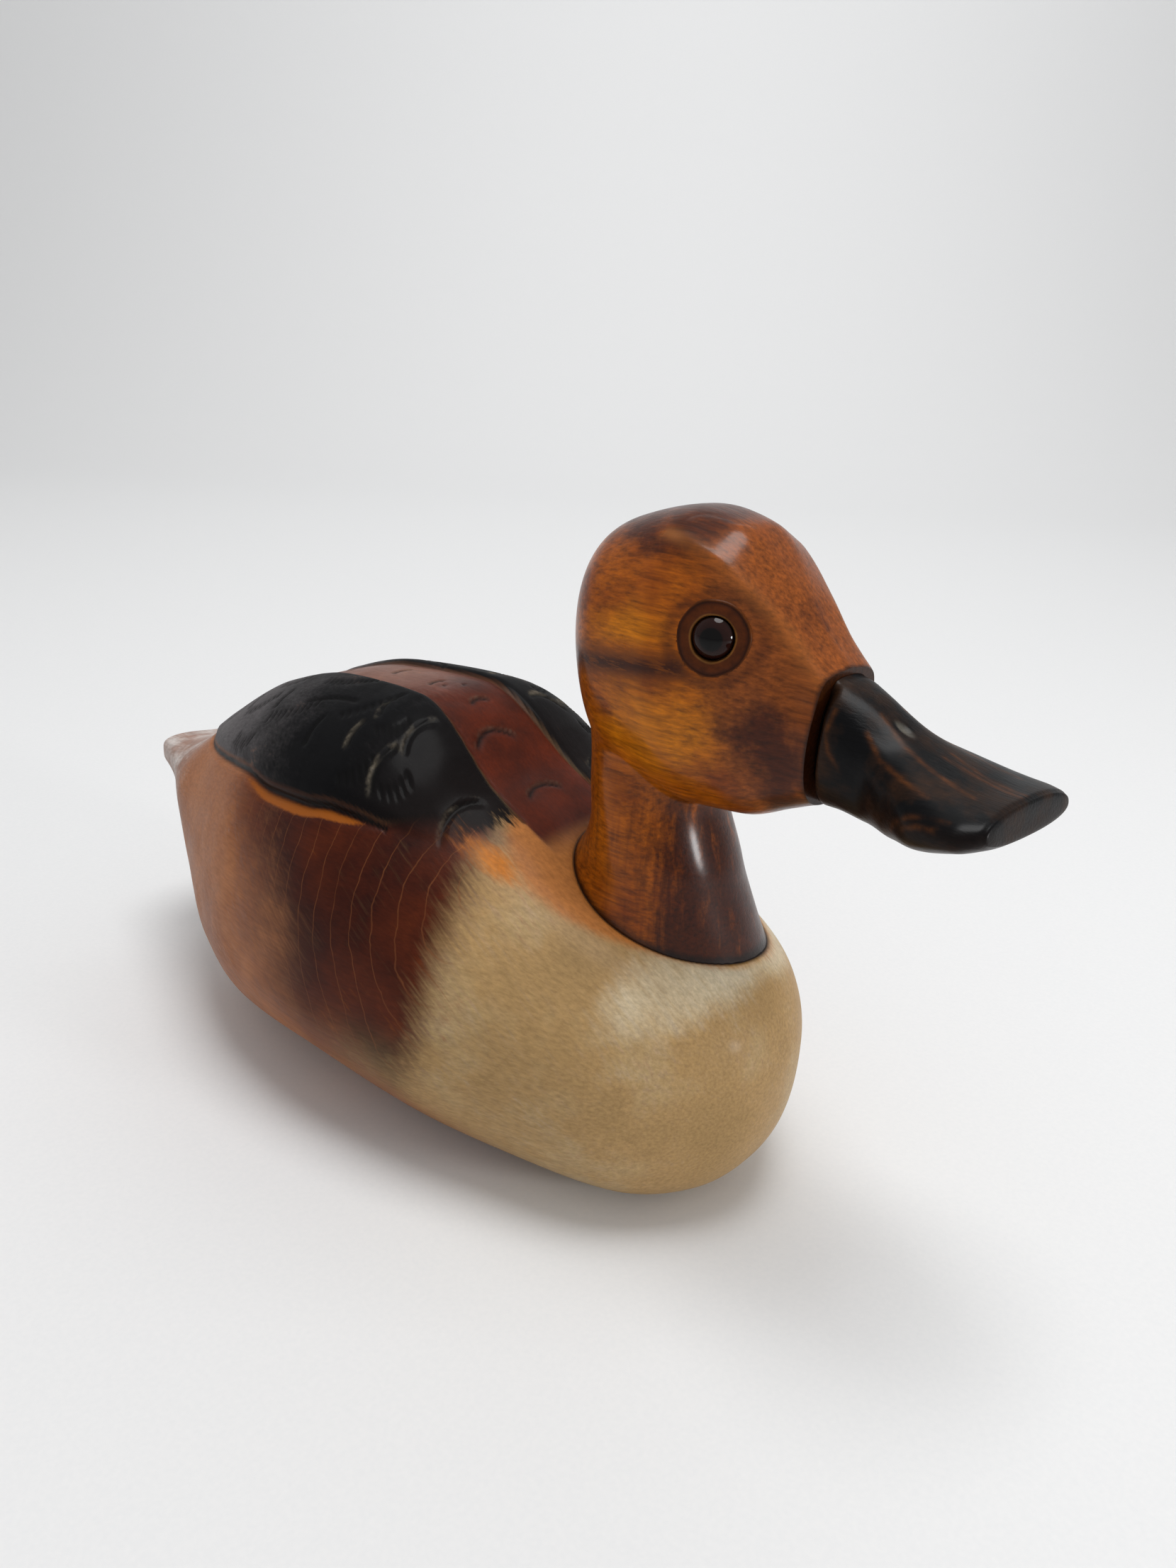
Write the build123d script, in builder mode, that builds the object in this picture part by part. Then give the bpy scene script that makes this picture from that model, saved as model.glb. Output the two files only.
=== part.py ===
"""Hollow carved duck decoy with an inlet ballast weight and a folding line tie.

+X points along the bill, +Y is the duck's left and +Z is up. The origin lies on
the table, under the middle of the body. All sizes are in millimetres.
"""

from math import cos, copysign, pi, radians, sin
import os

from build123d import *

os.makedirs("parts", exist_ok=True)

# Body, carved from a block and hollowed from below
BODY_HOLLOW_FLOOR = 8.0
LINE_TIE_RECESS_DEPTH = 7.0

# Bottom board, let into the underside and screwed on a gasket
BOARD_CENTRE_X = -9.0
BOARD_LENGTH = 102.0
BOARD_WIDTH = 37.0
BOARD_THICKNESS = 7.0
GASKET_THICKNESS = BODY_HOLLOW_FLOOR - BOARD_THICKNESS
OPENING_LENGTH = 90.0
OPENING_WIDTH = 26.0
LEDGE_FIT = 0.15

# Ballast, a flat lead bar let into the board
BALLAST_LENGTH = 58.0
BALLAST_WIDTH = 21.0
BALLAST_THICKNESS = 4.0

# Neck joint: the neck sits in a shallow slanted seat
NECK_CENTRE_X = 59.0
SEAT_CENTRE_Z = 67.4
SEAT_TILT = 22.0
NECK_FIT = 0.15
NECK_SCREW_X = 61.0
NECK_SCREW_DIAMETER = 6.0
NECK_SCREW_SHOULDER_Z = 50.0
NECK_SCREW_TIP_Z = 98.0
NECK_DOWEL_X = 75.0
NECK_DOWEL_DIAMETER = 8.0

# Head, turned and raised a little about the top of the neck
HEAD_PIVOT = (69.5, 0.0, 131.9)
HEAD_TURN = -5.3
HEAD_RAISE = 7.8

# Glass eyes in putty sockets
EYE_FORWARD = 15.1
EYE_SIDE = 16.6
EYE_HEIGHT = 4.3
EYE_SPLAY = 62.0
EYE_DIAMETER = 8.6
EYE_PROUD = 1.5
EYE_DOME_RADIUS = 5.1
EYE_DEPTH = 5.4
SOCKET_DIAMETER = 15.0
SOCKET_DEPTH = 7.0

# Bill, pegged to the face
FACE_FORWARD = 32.6
FACE_HEIGHT = -14.5
FACE_SLANT = 12.0
BILL_GAP = 0.2
BILL_DOWEL_DIAMETER = 7.0
BILL_DOWEL_HEIGHT = -16.5

# Line tie, a folding ring on a knuckle plate
TIE_PIN_X = 62.0
TIE_PIN_Z = 3.2
TIE_WIRE = 2.4
TIE_RING_RADIUS = 8.0
TIE_LEG = 4.0
TIE_KNUCKLE_DIAMETER = 4.4
TIE_KNUCKLE_LENGTH = 8.0
TIE_RUNNING_FIT = 0.05
TIE_PLATE_THICKNESS = 1.5

# Stations of the carved body: x, half width, top, bottom, height of the widest
# line, fullness of the back and fullness of the belly
BODY_STATIONS = [
    (-123.0, 19.0, 67.0, 57.5, 63.0, 2.5, 2.4),
    (-116.0, 22.5, 68.0, 51.5, 62.0, 2.4, 2.3),
    (-108.0, 27.0, 70.5, 43.5, 60.5, 2.3, 2.2),
    (-98.0, 33.0, 76.5, 27.0, 56.5, 2.2, 2.1),
    (-86.0, 38.0, 85.0, 4.5, 47.5, 2.2, 2.1),
    (-66.0, 46.5, 95.8, -2.6, 35.5, 2.3, 2.0),
    (-40.0, 54.3, 103.1, -3.6, 33.8, 2.3, 1.9),
    (-10.0, 57.0, 105.1, -4.0, 36.2, 2.3, 1.8),
    (20.0, 53.9, 88.4, -3.8, 36.4, 2.25, 2.0),
    (48.0, 46.2, 76.0, -3.0, 36.0, 2.2, 2.2),
    (72.0, 38.2, 66.6, -0.8, 36.0, 2.1, 2.3),
    (86.0, 26.5, 58.6, 5.5, 36.0, 2.2, 2.4),
    (93.0, 16.5, 50.5, 14.5, 36.0, 2.2, 2.4),
    (96.6, 5.0, 40.0, 31.5, 36.0, 2.2, 2.4),
]

# Stations of the head, measured along its own length from the pivot
HEAD_STATIONS = [
    (-33.6, 4.0, 10.0, -14.0, 0.0, 2.1, 2.1),
    (-28.5, 12.8, 20.0, -25.5, -1.0, 2.1, 2.1),
    (-15.0, 20.8, 27.0, -32.8, -2.0, 2.2, 2.2),
    (0.0, 21.9, 28.8, -34.2, -3.0, 2.2, 2.3),
    (13.0, 18.2, 25.2, -34.4, -5.0, 2.3, 2.4),
    (23.0, 12.9, 14.5, -31.6, -8.0, 2.4, 2.5),
    (30.0, 10.2, 4.2, -29.6, -12.0, 2.6, 2.6),
    (38.0, 8.6, -3.0, -28.4, -15.0, 2.8, 2.6),
]

# Stations of the bill, measured the same way
BILL_STATIONS = [
    (26.0, 9.6, 0.5, -29.6, -14.0, 2.6, 2.6),
    (35.0, 9.6, -3.6, -29.4, -16.5, 2.6, 2.6),
    (42.5, 9.6, -7.6, -31.0, -20.0, 2.5, 2.5),
    (50.0, 12.2, -12.8, -32.4, -24.0, 2.4, 2.4),
    (58.5, 16.4, -17.2, -31.8, -26.0, 2.3, 2.4),
    (67.0, 17.8, -20.4, -29.7, -26.0, 2.3, 2.4),
    (72.0, 14.8, -21.4, -28.2, -25.5, 2.3, 2.4),
]

# Stations of the neck, from the seat up into the head: centre x, centre z,
# tilt, half length, half width
NECK_STATIONS = [
    (NECK_CENTRE_X, SEAT_CENTRE_Z, SEAT_TILT, 25.6, 18.2),
    (60.2, 84.0, 17.0, 18.6, 17.4),
    (58.4, 100.0, 8.0, 15.4, 16.4),
    (60.4, 116.0, 0.0, 20.5, 16.8),
]


def carved_outline(half_width, top, bottom, widest, top_power, bottom_power):
    """Draw one closed cross-section, fuller where the power is higher."""
    points = []
    for step in range(16):
        angle = 2 * pi * step / 16
        power = top_power if sin(angle) >= 0 else bottom_power
        reach = top - widest if sin(angle) >= 0 else widest - bottom
        side = copysign(abs(cos(angle)) ** (2 / power), cos(angle))
        rise = copysign(abs(sin(angle)) ** (2 / power), sin(angle))
        points.append((half_width * side, widest + reach * rise))
    with BuildLine() as outline:
        Spline(*points, periodic=True)
    make_face(outline.edges())


def head_plane(forward):
    """Give the cross-section plane of the head at a distance from its pivot."""
    turn = radians(HEAD_TURN)
    rise = radians(HEAD_RAISE)
    along = Vector(cos(turn) * cos(rise), sin(turn) * cos(rise), sin(rise))
    left = Vector(-sin(turn), cos(turn), 0)
    return Plane(origin=HEAD_PIVOT, x_dir=left, z_dir=along).offset(forward)


def face_plane(gap):
    """Give the slanted plane where the bill meets the face, moved on by a gap."""
    section = head_plane(FACE_FORWARD)
    middle = section.from_local_coords((0, FACE_HEIGHT, 0))
    slant = radians(FACE_SLANT)
    normal = section.z_dir * cos(slant) - section.y_dir * sin(slant)
    return Plane(origin=middle, x_dir=section.x_dir, z_dir=normal).offset(gap)


def eye_plane(side):
    """Give the plane of one eye; its Z axis looks out of the socket."""
    section = head_plane(EYE_FORWARD)
    centre = section.from_local_coords((side * EYE_SIDE, EYE_HEIGHT, 0))
    splay = radians(EYE_SPLAY)
    outward = section.x_dir * side * sin(splay) + section.z_dir * cos(splay)
    return Plane(origin=centre, x_dir=section.y_dir, z_dir=outward)


def neck_plane(centre_x, centre_z, tilt):
    """Give a cross-section plane of the neck, dipping towards the breast."""
    slope = radians(tilt)
    return Plane(
        origin=(centre_x, 0, centre_z),
        x_dir=(cos(slope), 0, -sin(slope)),
        z_dir=(sin(slope), 0, cos(slope)),
    )


def screw(place, shank, length, head, head_height):
    """Make a slotted countersunk wood screw, driven upwards from its head."""
    with Locations(place):
        Cone(head / 2, shank / 2, head_height, align=(Align.CENTER, Align.CENTER, Align.MIN))
        Cylinder(shank / 2, length, align=(Align.CENTER, Align.CENTER, Align.MIN))
        Box(head + 1, 0.7, 1.4, mode=Mode.SUBTRACT)


def slot_prism(length, width, centre_x, bottom, height, mode=Mode.ADD):
    """Extrude a round-ended oblong from a height above the table."""
    with BuildSketch(Plane.XY.offset(bottom)) as oblong:
        with Locations((centre_x, 0)):
            SlotOverall(length, width)
    extrude(oblong.sketch, amount=height, mode=mode)


# Carved blanks that later parts are cut from
with BuildPart() as body_blank:
    for x, *outline in BODY_STATIONS:
        with BuildSketch(Plane.YZ.offset(x)):
            carved_outline(*outline)
    loft()
    split(bisect_by=Plane.XY, keep=Keep.TOP)

with BuildPart() as neck_blank:
    for x, z, tilt, half_length, half_width in NECK_STATIONS:
        with BuildSketch(neck_plane(x, z, tilt)):
            Ellipse(half_length, half_width)
    loft()

with BuildPart() as neck_seat:
    for x, z, tilt, half_length, half_width in NECK_STATIONS:
        with BuildSketch(neck_plane(x, z - NECK_FIT, tilt)):
            Ellipse(half_length + NECK_FIT, half_width + NECK_FIT)
    loft()

with BuildPart() as head_blank:
    for forward, *outline in HEAD_STATIONS:
        with BuildSketch(head_plane(forward)):
            carved_outline(*outline)
    loft()
    split(bisect_by=face_plane(0), keep=Keep.BOTTOM)

# Places of the repeated fasteners
BOARD_SCREW_PLACES = [
    (BOARD_CENTRE_X + 27, 15.9, 0),
    (BOARD_CENTRE_X + 27, -15.9, 0),
    (BOARD_CENTRE_X - 27, 15.9, 0),
    (BOARD_CENTRE_X - 27, -15.9, 0),
    (BOARD_CENTRE_X + 48.2, 0, 0),
    (BOARD_CENTRE_X - 48.2, 0, 0),
]
BALLAST_SCREW_PLACES = [
    (BOARD_CENTRE_X + 19, 0, 0),
    (BOARD_CENTRE_X - 19, 0, 0),
]
TIE_SCREW_PLACES = [
    (TIE_PIN_X + across, along, LINE_TIE_RECESS_DEPTH - TIE_PLATE_THICKNESS)
    for across in (-3.6, 2.6)
    for along in (-6.4, 6.4)
]

# Hollow body, cut for the board, the neck, the neck bolt and the line tie
with BuildPart() as body_shell:
    add(body_blank.part)
    add(neck_seat.part, mode=Mode.SUBTRACT)
    slot_prism(
        BOARD_LENGTH + 2 * LEDGE_FIT,
        BOARD_WIDTH + 2 * LEDGE_FIT,
        BOARD_CENTRE_X,
        0,
        BODY_HOLLOW_FLOOR,
        mode=Mode.SUBTRACT,
    )
    for height, length, width, centre_x in (
        (BODY_HOLLOW_FLOOR, OPENING_LENGTH, OPENING_WIDTH, BOARD_CENTRE_X),
        (20.0, 92.0, 27.0, BOARD_CENTRE_X),
        (32.0, 118.0, 48.0, -6.0),
        (46.0, 116.0, 58.0, -8.0),
        (58.0, 84.0, 40.0, -14.0),
        (78.0, 54.0, 22.0, -22.0),
    ):
        with BuildSketch(Plane.XY.offset(height)):
            with Locations((centre_x, 0)):
                SlotOverall(length, width)
    loft(ruled=True, mode=Mode.SUBTRACT)
    with Locations((NECK_SCREW_X, 0, NECK_SCREW_SHOULDER_Z)):
        Cylinder(10.0, 26.0, align=(Align.CENTER, Align.CENTER, Align.MAX), mode=Mode.SUBTRACT)
        Cylinder(
            NECK_SCREW_DIAMETER / 2 + 0.2,
            60.0,
            align=(Align.CENTER, Align.CENTER, Align.MIN),
            mode=Mode.SUBTRACT,
        )
    with Locations((NECK_DOWEL_X, 0, 46.0)):
        Cylinder(
            NECK_DOWEL_DIAMETER / 2 + 0.1,
            30.0,
            align=(Align.CENTER, Align.CENTER, Align.MIN),
            mode=Mode.SUBTRACT,
        )
    for x, y, z in BOARD_SCREW_PLACES:
        with Locations((x, y, 0)):
            Cylinder(1.35, 17.0, align=(Align.CENTER, Align.CENTER, Align.MIN), mode=Mode.SUBTRACT)
    with BuildSketch(Plane.XY):
        with Locations((TIE_PIN_X - 4.9, 0)):
            RectangleRounded(19.8, 20.4, 4.0)
    extrude(amount=LINE_TIE_RECESS_DEPTH, mode=Mode.SUBTRACT)
    for x, y, z in TIE_SCREW_PLACES:
        with Locations((x, y, LINE_TIE_RECESS_DEPTH)):
            Cylinder(1.1, 8.0, align=(Align.CENTER, Align.CENTER, Align.MIN), mode=Mode.SUBTRACT)

# Board that closes the hollow, pocketed for the ballast
with BuildPart() as bottom_board:
    slot_prism(BOARD_LENGTH, BOARD_WIDTH, BOARD_CENTRE_X, 0, BOARD_THICKNESS)
    slot_prism(
        BALLAST_LENGTH + 0.3,
        BALLAST_WIDTH + 0.3,
        BOARD_CENTRE_X,
        0,
        BALLAST_THICKNESS,
        mode=Mode.SUBTRACT,
    )
    for x, y, z in BOARD_SCREW_PLACES:
        with Locations((x, y, 0)):
            Cylinder(1.35, 8.0, align=(Align.CENTER, Align.CENTER, Align.MIN), mode=Mode.SUBTRACT)
            Cone(2.5, 1.35, 2.3, align=(Align.CENTER, Align.CENTER, Align.MIN), mode=Mode.SUBTRACT)
    for x, y, z in BALLAST_SCREW_PLACES:
        with Locations((x, y, 0)):
            Cylinder(1.35, 8.0, align=(Align.CENTER, Align.CENTER, Align.MIN), mode=Mode.SUBTRACT)

with BuildPart() as board_gasket:
    slot_prism(BOARD_LENGTH, BOARD_WIDTH, BOARD_CENTRE_X, BOARD_THICKNESS, GASKET_THICKNESS)
    slot_prism(
        OPENING_LENGTH,
        OPENING_WIDTH,
        BOARD_CENTRE_X,
        BOARD_THICKNESS,
        GASKET_THICKNESS,
        mode=Mode.SUBTRACT,
    )
    for x, y, z in BOARD_SCREW_PLACES:
        with Locations((x, y, 0)):
            Cylinder(1.35, 9.0, align=(Align.CENTER, Align.CENTER, Align.MIN), mode=Mode.SUBTRACT)

with BuildPart() as bottom_board_screws:
    for place in BOARD_SCREW_PLACES:
        screw(place, 2.5, 16.0, 4.8, 2.2)

with BuildPart() as ballast_weight:
    slot_prism(BALLAST_LENGTH, BALLAST_WIDTH, BOARD_CENTRE_X, 0, BALLAST_THICKNESS)
    for x, y, z in BALLAST_SCREW_PLACES:
        with Locations((x, y, 0)):
            Cylinder(1.35, 5.0, align=(Align.CENTER, Align.CENTER, Align.MIN), mode=Mode.SUBTRACT)
            Cone(2.5, 1.35, 2.3, align=(Align.CENTER, Align.CENTER, Align.MIN), mode=Mode.SUBTRACT)

with BuildPart() as ballast_screws:
    for place in BALLAST_SCREW_PLACES:
        screw(place, 2.5, 6.8, 4.8, 2.2)

# Head and neck in one block
with BuildPart() as head:
    add(head_blank.part)
    add(neck_blank.part)
    with Locations((NECK_SCREW_X, 0, NECK_SCREW_SHOULDER_Z)):
        Cylinder(
            NECK_SCREW_DIAMETER / 2 + 0.1,
            NECK_SCREW_TIP_Z - NECK_SCREW_SHOULDER_Z + 1,
            align=(Align.CENTER, Align.CENTER, Align.MIN),
            mode=Mode.SUBTRACT,
        )
    with Locations((NECK_DOWEL_X, 0, 46.0)):
        Cylinder(
            NECK_DOWEL_DIAMETER / 2 + 0.1,
            25.0,
            align=(Align.CENTER, Align.CENTER, Align.MIN),
            mode=Mode.SUBTRACT,
        )
    with Locations(head_plane(22.0)):
        with Locations((0, BILL_DOWEL_HEIGHT, 0)):
            Cylinder(
                BILL_DOWEL_DIAMETER / 2 + 0.1,
                26.0,
                align=(Align.CENTER, Align.CENTER, Align.MIN),
                mode=Mode.SUBTRACT,
            )
    for side in (1, -1):
        with Locations(eye_plane(side).offset(-SOCKET_DEPTH)):
            Cylinder(
                SOCKET_DIAMETER / 2,
                SOCKET_DEPTH + 8,
                align=(Align.CENTER, Align.CENTER, Align.MIN),
                mode=Mode.SUBTRACT,
            )

with BuildPart() as bill:
    for forward, *outline in BILL_STATIONS:
        with BuildSketch(head_plane(forward)):
            carved_outline(*outline)
    loft()
    split(bisect_by=face_plane(BILL_GAP), keep=Keep.TOP)
    with Locations(head_plane(22.0)):
        with Locations((0, BILL_DOWEL_HEIGHT, 0)):
            Cylinder(
                BILL_DOWEL_DIAMETER / 2 + 0.1,
                21.5,
                align=(Align.CENTER, Align.CENTER, Align.MIN),
                mode=Mode.SUBTRACT,
            )

with BuildPart() as bill_dowel:
    with Locations(head_plane(22.5)):
        with Locations((0, BILL_DOWEL_HEIGHT, 0)):
            Cylinder(
                BILL_DOWEL_DIAMETER / 2,
                20.5,
                align=(Align.CENTER, Align.CENTER, Align.MIN),
            )

# Neck fasteners, driven from inside the hollow
with BuildPart() as neck_dowel:
    with Locations((NECK_DOWEL_X, 0, 46.5)):
        Cylinder(
            NECK_DOWEL_DIAMETER / 2,
            24.0,
            align=(Align.CENTER, Align.CENTER, Align.MIN),
        )

with BuildPart() as neck_washer:
    with Locations((NECK_SCREW_X, 0, NECK_SCREW_SHOULDER_Z)):
        Cylinder(9.0, 1.6, align=(Align.CENTER, Align.CENTER, Align.MAX))
        Cylinder(
            NECK_SCREW_DIAMETER / 2 + 0.2,
            1.6,
            align=(Align.CENTER, Align.CENTER, Align.MAX),
            mode=Mode.SUBTRACT,
        )

with BuildPart() as neck_screw:
    with BuildSketch(Plane.XY.offset(NECK_SCREW_SHOULDER_Z - 1.6)):
        with Locations((NECK_SCREW_X, 0)):
            RegularPolygon(5.6, 6)
    extrude(amount=-4.2)
    with Locations((NECK_SCREW_X, 0, NECK_SCREW_SHOULDER_Z - 1.6)):
        Cylinder(
            NECK_SCREW_DIAMETER / 2,
            NECK_SCREW_TIP_Z - NECK_SCREW_SHOULDER_Z + 1.6,
            align=(Align.CENTER, Align.CENTER, Align.MIN),
        )


def glass_eye(side):
    """Make a domed glass eye with a flat back, in its socket."""
    with BuildPart() as eye:
        with Locations(eye_plane(side).offset(EYE_PROUD - EYE_DOME_RADIUS)):
            Sphere(EYE_DOME_RADIUS)
        with Locations(eye_plane(side).offset(EYE_PROUD - EYE_DEPTH)):
            Cylinder(
                EYE_DIAMETER / 2,
                EYE_DEPTH,
                align=(Align.CENTER, Align.CENTER, Align.MIN),
                mode=Mode.INTERSECT,
            )
    return eye.part


def eye_putty(side):
    """Make the bedding putty, flush with the side of the head around the eye."""
    with BuildPart() as putty:
        with Locations(eye_plane(side).offset(-SOCKET_DEPTH)):
            Cylinder(
                SOCKET_DIAMETER / 2,
                SOCKET_DEPTH + 8,
                align=(Align.CENTER, Align.CENTER, Align.MIN),
            )
        add(head_blank.part, mode=Mode.INTERSECT)
        with Locations(eye_plane(side).offset(EYE_PROUD - EYE_DEPTH - 0.05)):
            Cylinder(
                EYE_DIAMETER / 2 + 0.05,
                20.0,
                align=(Align.CENTER, Align.CENTER, Align.MIN),
                mode=Mode.SUBTRACT,
            )
    return putty.part


# Line tie plate with its knuckle, the ring that swings in it, and its screws
with BuildPart() as line_tie_plate:
    with BuildSketch(Plane.XY.offset(LINE_TIE_RECESS_DEPTH - TIE_PLATE_THICKNESS)):
        with Locations((TIE_PIN_X - 0.5, 0)):
            RectangleRounded(10.4, 17.6, 1.5)
    extrude(amount=TIE_PLATE_THICKNESS)
    with Locations((TIE_PIN_X, 0, TIE_PIN_Z)):
        Cylinder(TIE_KNUCKLE_DIAMETER / 2, TIE_KNUCKLE_LENGTH, rotation=(90, 0, 0))
        Box(
            TIE_KNUCKLE_DIAMETER,
            TIE_KNUCKLE_LENGTH,
            LINE_TIE_RECESS_DEPTH - TIE_PLATE_THICKNESS - TIE_PIN_Z,
            align=(Align.CENTER, Align.CENTER, Align.MIN),
        )
        Cylinder(
            TIE_WIRE / 2 + TIE_RUNNING_FIT,
            TIE_KNUCKLE_LENGTH + 2,
            rotation=(90, 0, 0),
            mode=Mode.SUBTRACT,
        )
    for x, y, z in TIE_SCREW_PLACES:
        with Locations((x, y, z)):
            Cylinder(1.1, 3.0, align=(Align.CENTER, Align.CENTER, Align.MIN), mode=Mode.SUBTRACT)
            Cone(1.9, 1.1, 1.1, align=(Align.CENTER, Align.CENTER, Align.MIN), mode=Mode.SUBTRACT)

with BuildPart() as line_tie_ring:
    with Locations((TIE_PIN_X, 0, TIE_PIN_Z)):
        Cylinder(TIE_WIRE / 2, 2 * TIE_RING_RADIUS, rotation=(90, 0, 0))
        with Locations((0, TIE_RING_RADIUS, 0), (0, -TIE_RING_RADIUS, 0)):
            Sphere(TIE_WIRE / 2)
        with Locations(
            (-TIE_LEG / 2, TIE_RING_RADIUS, 0),
            (-TIE_LEG / 2, -TIE_RING_RADIUS, 0),
        ):
            Cylinder(TIE_WIRE / 2, TIE_LEG, rotation=(0, 90, 0))
        with Locations((-TIE_LEG, 0, 0)):
            Torus(
                TIE_RING_RADIUS,
                TIE_WIRE / 2,
                major_angle=180,
                rotation=(0, 0, 90),
                align=None,
            )

with BuildPart() as line_tie_screws:
    for place in TIE_SCREW_PLACES:
        screw(place, 2.0, 8.5, 3.6, 1.0)

left_eye = glass_eye(1)
right_eye = glass_eye(-1)
left_eye_putty = eye_putty(1)
right_eye_putty = eye_putty(-1)

pieces = {
    "body_shell": body_shell.part,
    "bottom_board": bottom_board.part,
    "board_gasket": board_gasket.part,
    "bottom_board_screws": bottom_board_screws.part,
    "ballast_weight": ballast_weight.part,
    "ballast_screws": ballast_screws.part,
    "head": head.part,
    "bill": bill.part,
    "bill_dowel": bill_dowel.part,
    "neck_dowel": neck_dowel.part,
    "neck_screw": neck_screw.part,
    "neck_washer": neck_washer.part,
    "left_eye": left_eye,
    "right_eye": right_eye,
    "left_eye_putty": left_eye_putty,
    "right_eye_putty": right_eye_putty,
    "line_tie_plate": line_tie_plate.part,
    "line_tie_ring": line_tie_ring.part,
    "line_tie_screws": line_tie_screws.part,
}

for name, solid in pieces.items():
    solid.label = name
    export_step(solid, f"parts/{name}.step")
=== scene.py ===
import math

import bmesh
import bpy
import numpy as np
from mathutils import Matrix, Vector
from mathutils.bvhtree import BVHTree


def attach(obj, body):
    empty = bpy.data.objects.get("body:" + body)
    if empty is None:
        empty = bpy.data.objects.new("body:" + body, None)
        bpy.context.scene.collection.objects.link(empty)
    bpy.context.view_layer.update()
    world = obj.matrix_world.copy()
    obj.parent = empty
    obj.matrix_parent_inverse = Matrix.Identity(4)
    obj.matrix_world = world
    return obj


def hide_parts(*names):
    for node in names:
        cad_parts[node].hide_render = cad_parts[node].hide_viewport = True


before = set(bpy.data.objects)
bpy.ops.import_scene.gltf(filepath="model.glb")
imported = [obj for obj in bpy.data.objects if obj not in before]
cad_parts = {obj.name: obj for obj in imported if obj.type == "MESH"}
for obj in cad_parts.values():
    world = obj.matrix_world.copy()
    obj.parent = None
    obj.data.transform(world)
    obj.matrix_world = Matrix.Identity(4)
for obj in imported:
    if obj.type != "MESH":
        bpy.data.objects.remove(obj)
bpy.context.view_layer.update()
print("frame loaded,", len(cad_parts), "nodes")

mm = 0.001
bpy.context.scene.view_settings.view_transform = "Standard"


def newPiece(name, data):
    piece = bpy.data.objects.new(name, data)
    bpy.context.scene.collection.objects.link(piece)
    return piece


# camera, placed round a point on the duck; lengths in mm
cameraSetup = {
    "target": (24.1, 14.7, 83.3),
    "azimuth": 41.1,  # towards the breast from the duck's right side
    "elevation": 21.0,
    "distance": 303.2,
    "roll": 2.6,
    "lens": 27.03,  # on a sensor 36 mm high
}


def placeCamera(setup):
    azimuth, elevation, roll = (math.radians(setup[k]) for k in ("azimuth", "elevation", "roll"))
    back = Vector((
        math.sin(azimuth) * math.cos(elevation),
        -math.cos(azimuth) * math.cos(elevation),
        math.sin(elevation),
    ))
    level = Vector((math.cos(azimuth), math.sin(azimuth), 0.0))
    up = back.cross(level)
    right = level * math.cos(roll) + up * math.sin(roll)
    up = back.cross(right)
    lens = bpy.data.cameras.new("camera")
    lens.sensor_fit = "VERTICAL"
    lens.sensor_height = 36.0
    lens.lens = setup["lens"]
    lens.clip_start = 0.01
    camera = newPiece("camera", lens)
    place = Vector(setup["target"]) * mm + back * setup["distance"] * mm
    for row in range(3):
        camera.matrix_world[row][0] = right[row]
        camera.matrix_world[row][1] = up[row]
        camera.matrix_world[row][2] = back[row]
        camera.matrix_world[row][3] = place[row]
    bpy.context.scene.camera = camera


placeCamera(cameraSetup)


# a smooth curve through listed stations that never overshoots them
def followStations(stations, column, at):
    x = np.array([s[0] for s in stations], float)
    y = np.array([s[column] for s in stations], float)
    gap = np.diff(x)
    rise = np.diff(y) / gap
    slope = np.concatenate([[rise[0]], np.zeros(len(x) - 2), [rise[-1]]])
    for i in range(1, len(x) - 1):
        if rise[i - 1] * rise[i] > 0:
            before = 2 * gap[i] + gap[i - 1]
            after = gap[i] + 2 * gap[i - 1]
            slope[i] = (before + after) / (before / rise[i - 1] + after / rise[i])
    at = np.clip(at, x[0], x[-1])
    i = np.clip(np.searchsorted(x, at) - 1, 0, len(x) - 2)
    t = (at - x[i]) / gap[i]
    return (
        (1 + 2 * t) * (1 - t) ** 2 * y[i]
        + t * (1 - t) ** 2 * gap[i] * slope[i]
        + t * t * (3 - 2 * t) * y[i + 1]
        + t * t * (t - 1) * gap[i] * slope[i + 1]
    )


def easeStep(low, high, value):
    t = np.clip((value - low) / (high - low), 0.0, 1.0)
    return t * t * (3 - 2 * t)


# a soft swelling round zero that is e times lower one width away
def swell(distance, width, power=2):
    return np.exp(-np.abs(distance / width) ** power)


# one cross-section of carved wood: half width, top, bottom, height of the widest line,
# fullness above it and below it
def carvedSection(width, top, bottom, widest, upperPower, lowerPower, angles):
    across, rise = np.cos(angles), np.sin(angles)
    power = np.where(rise >= 0, upperPower, lowerPower)
    reach = np.where(rise >= 0, top - widest, widest - bottom)
    y = width * np.sign(across) * np.abs(across) ** (2 / power)
    z = widest + reach * np.sign(rise) * np.abs(rise) ** (2 / power)
    return y, z


def surfaceNormals(grid):
    along = np.gradient(grid, axis=0)
    around = np.roll(grid, -1, axis=1) - np.roll(grid, 1, axis=1)
    normal = np.cross(around, along)
    length = np.linalg.norm(normal, axis=2, keepdims=True)
    normal = normal / np.maximum(length, 1e-9)
    outward = grid - grid.mean(axis=1, keepdims=True)
    if np.sum(normal * outward) < 0:
        normal = -normal
    return normal


def writeMasks(piece, masks):
    for name, values in masks.items():
        layer = piece.data.attributes.new(name, "FLOAT", "POINT")
        layer.data.foreach_set("value", np.asarray(values, np.float32).reshape(-1))


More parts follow.
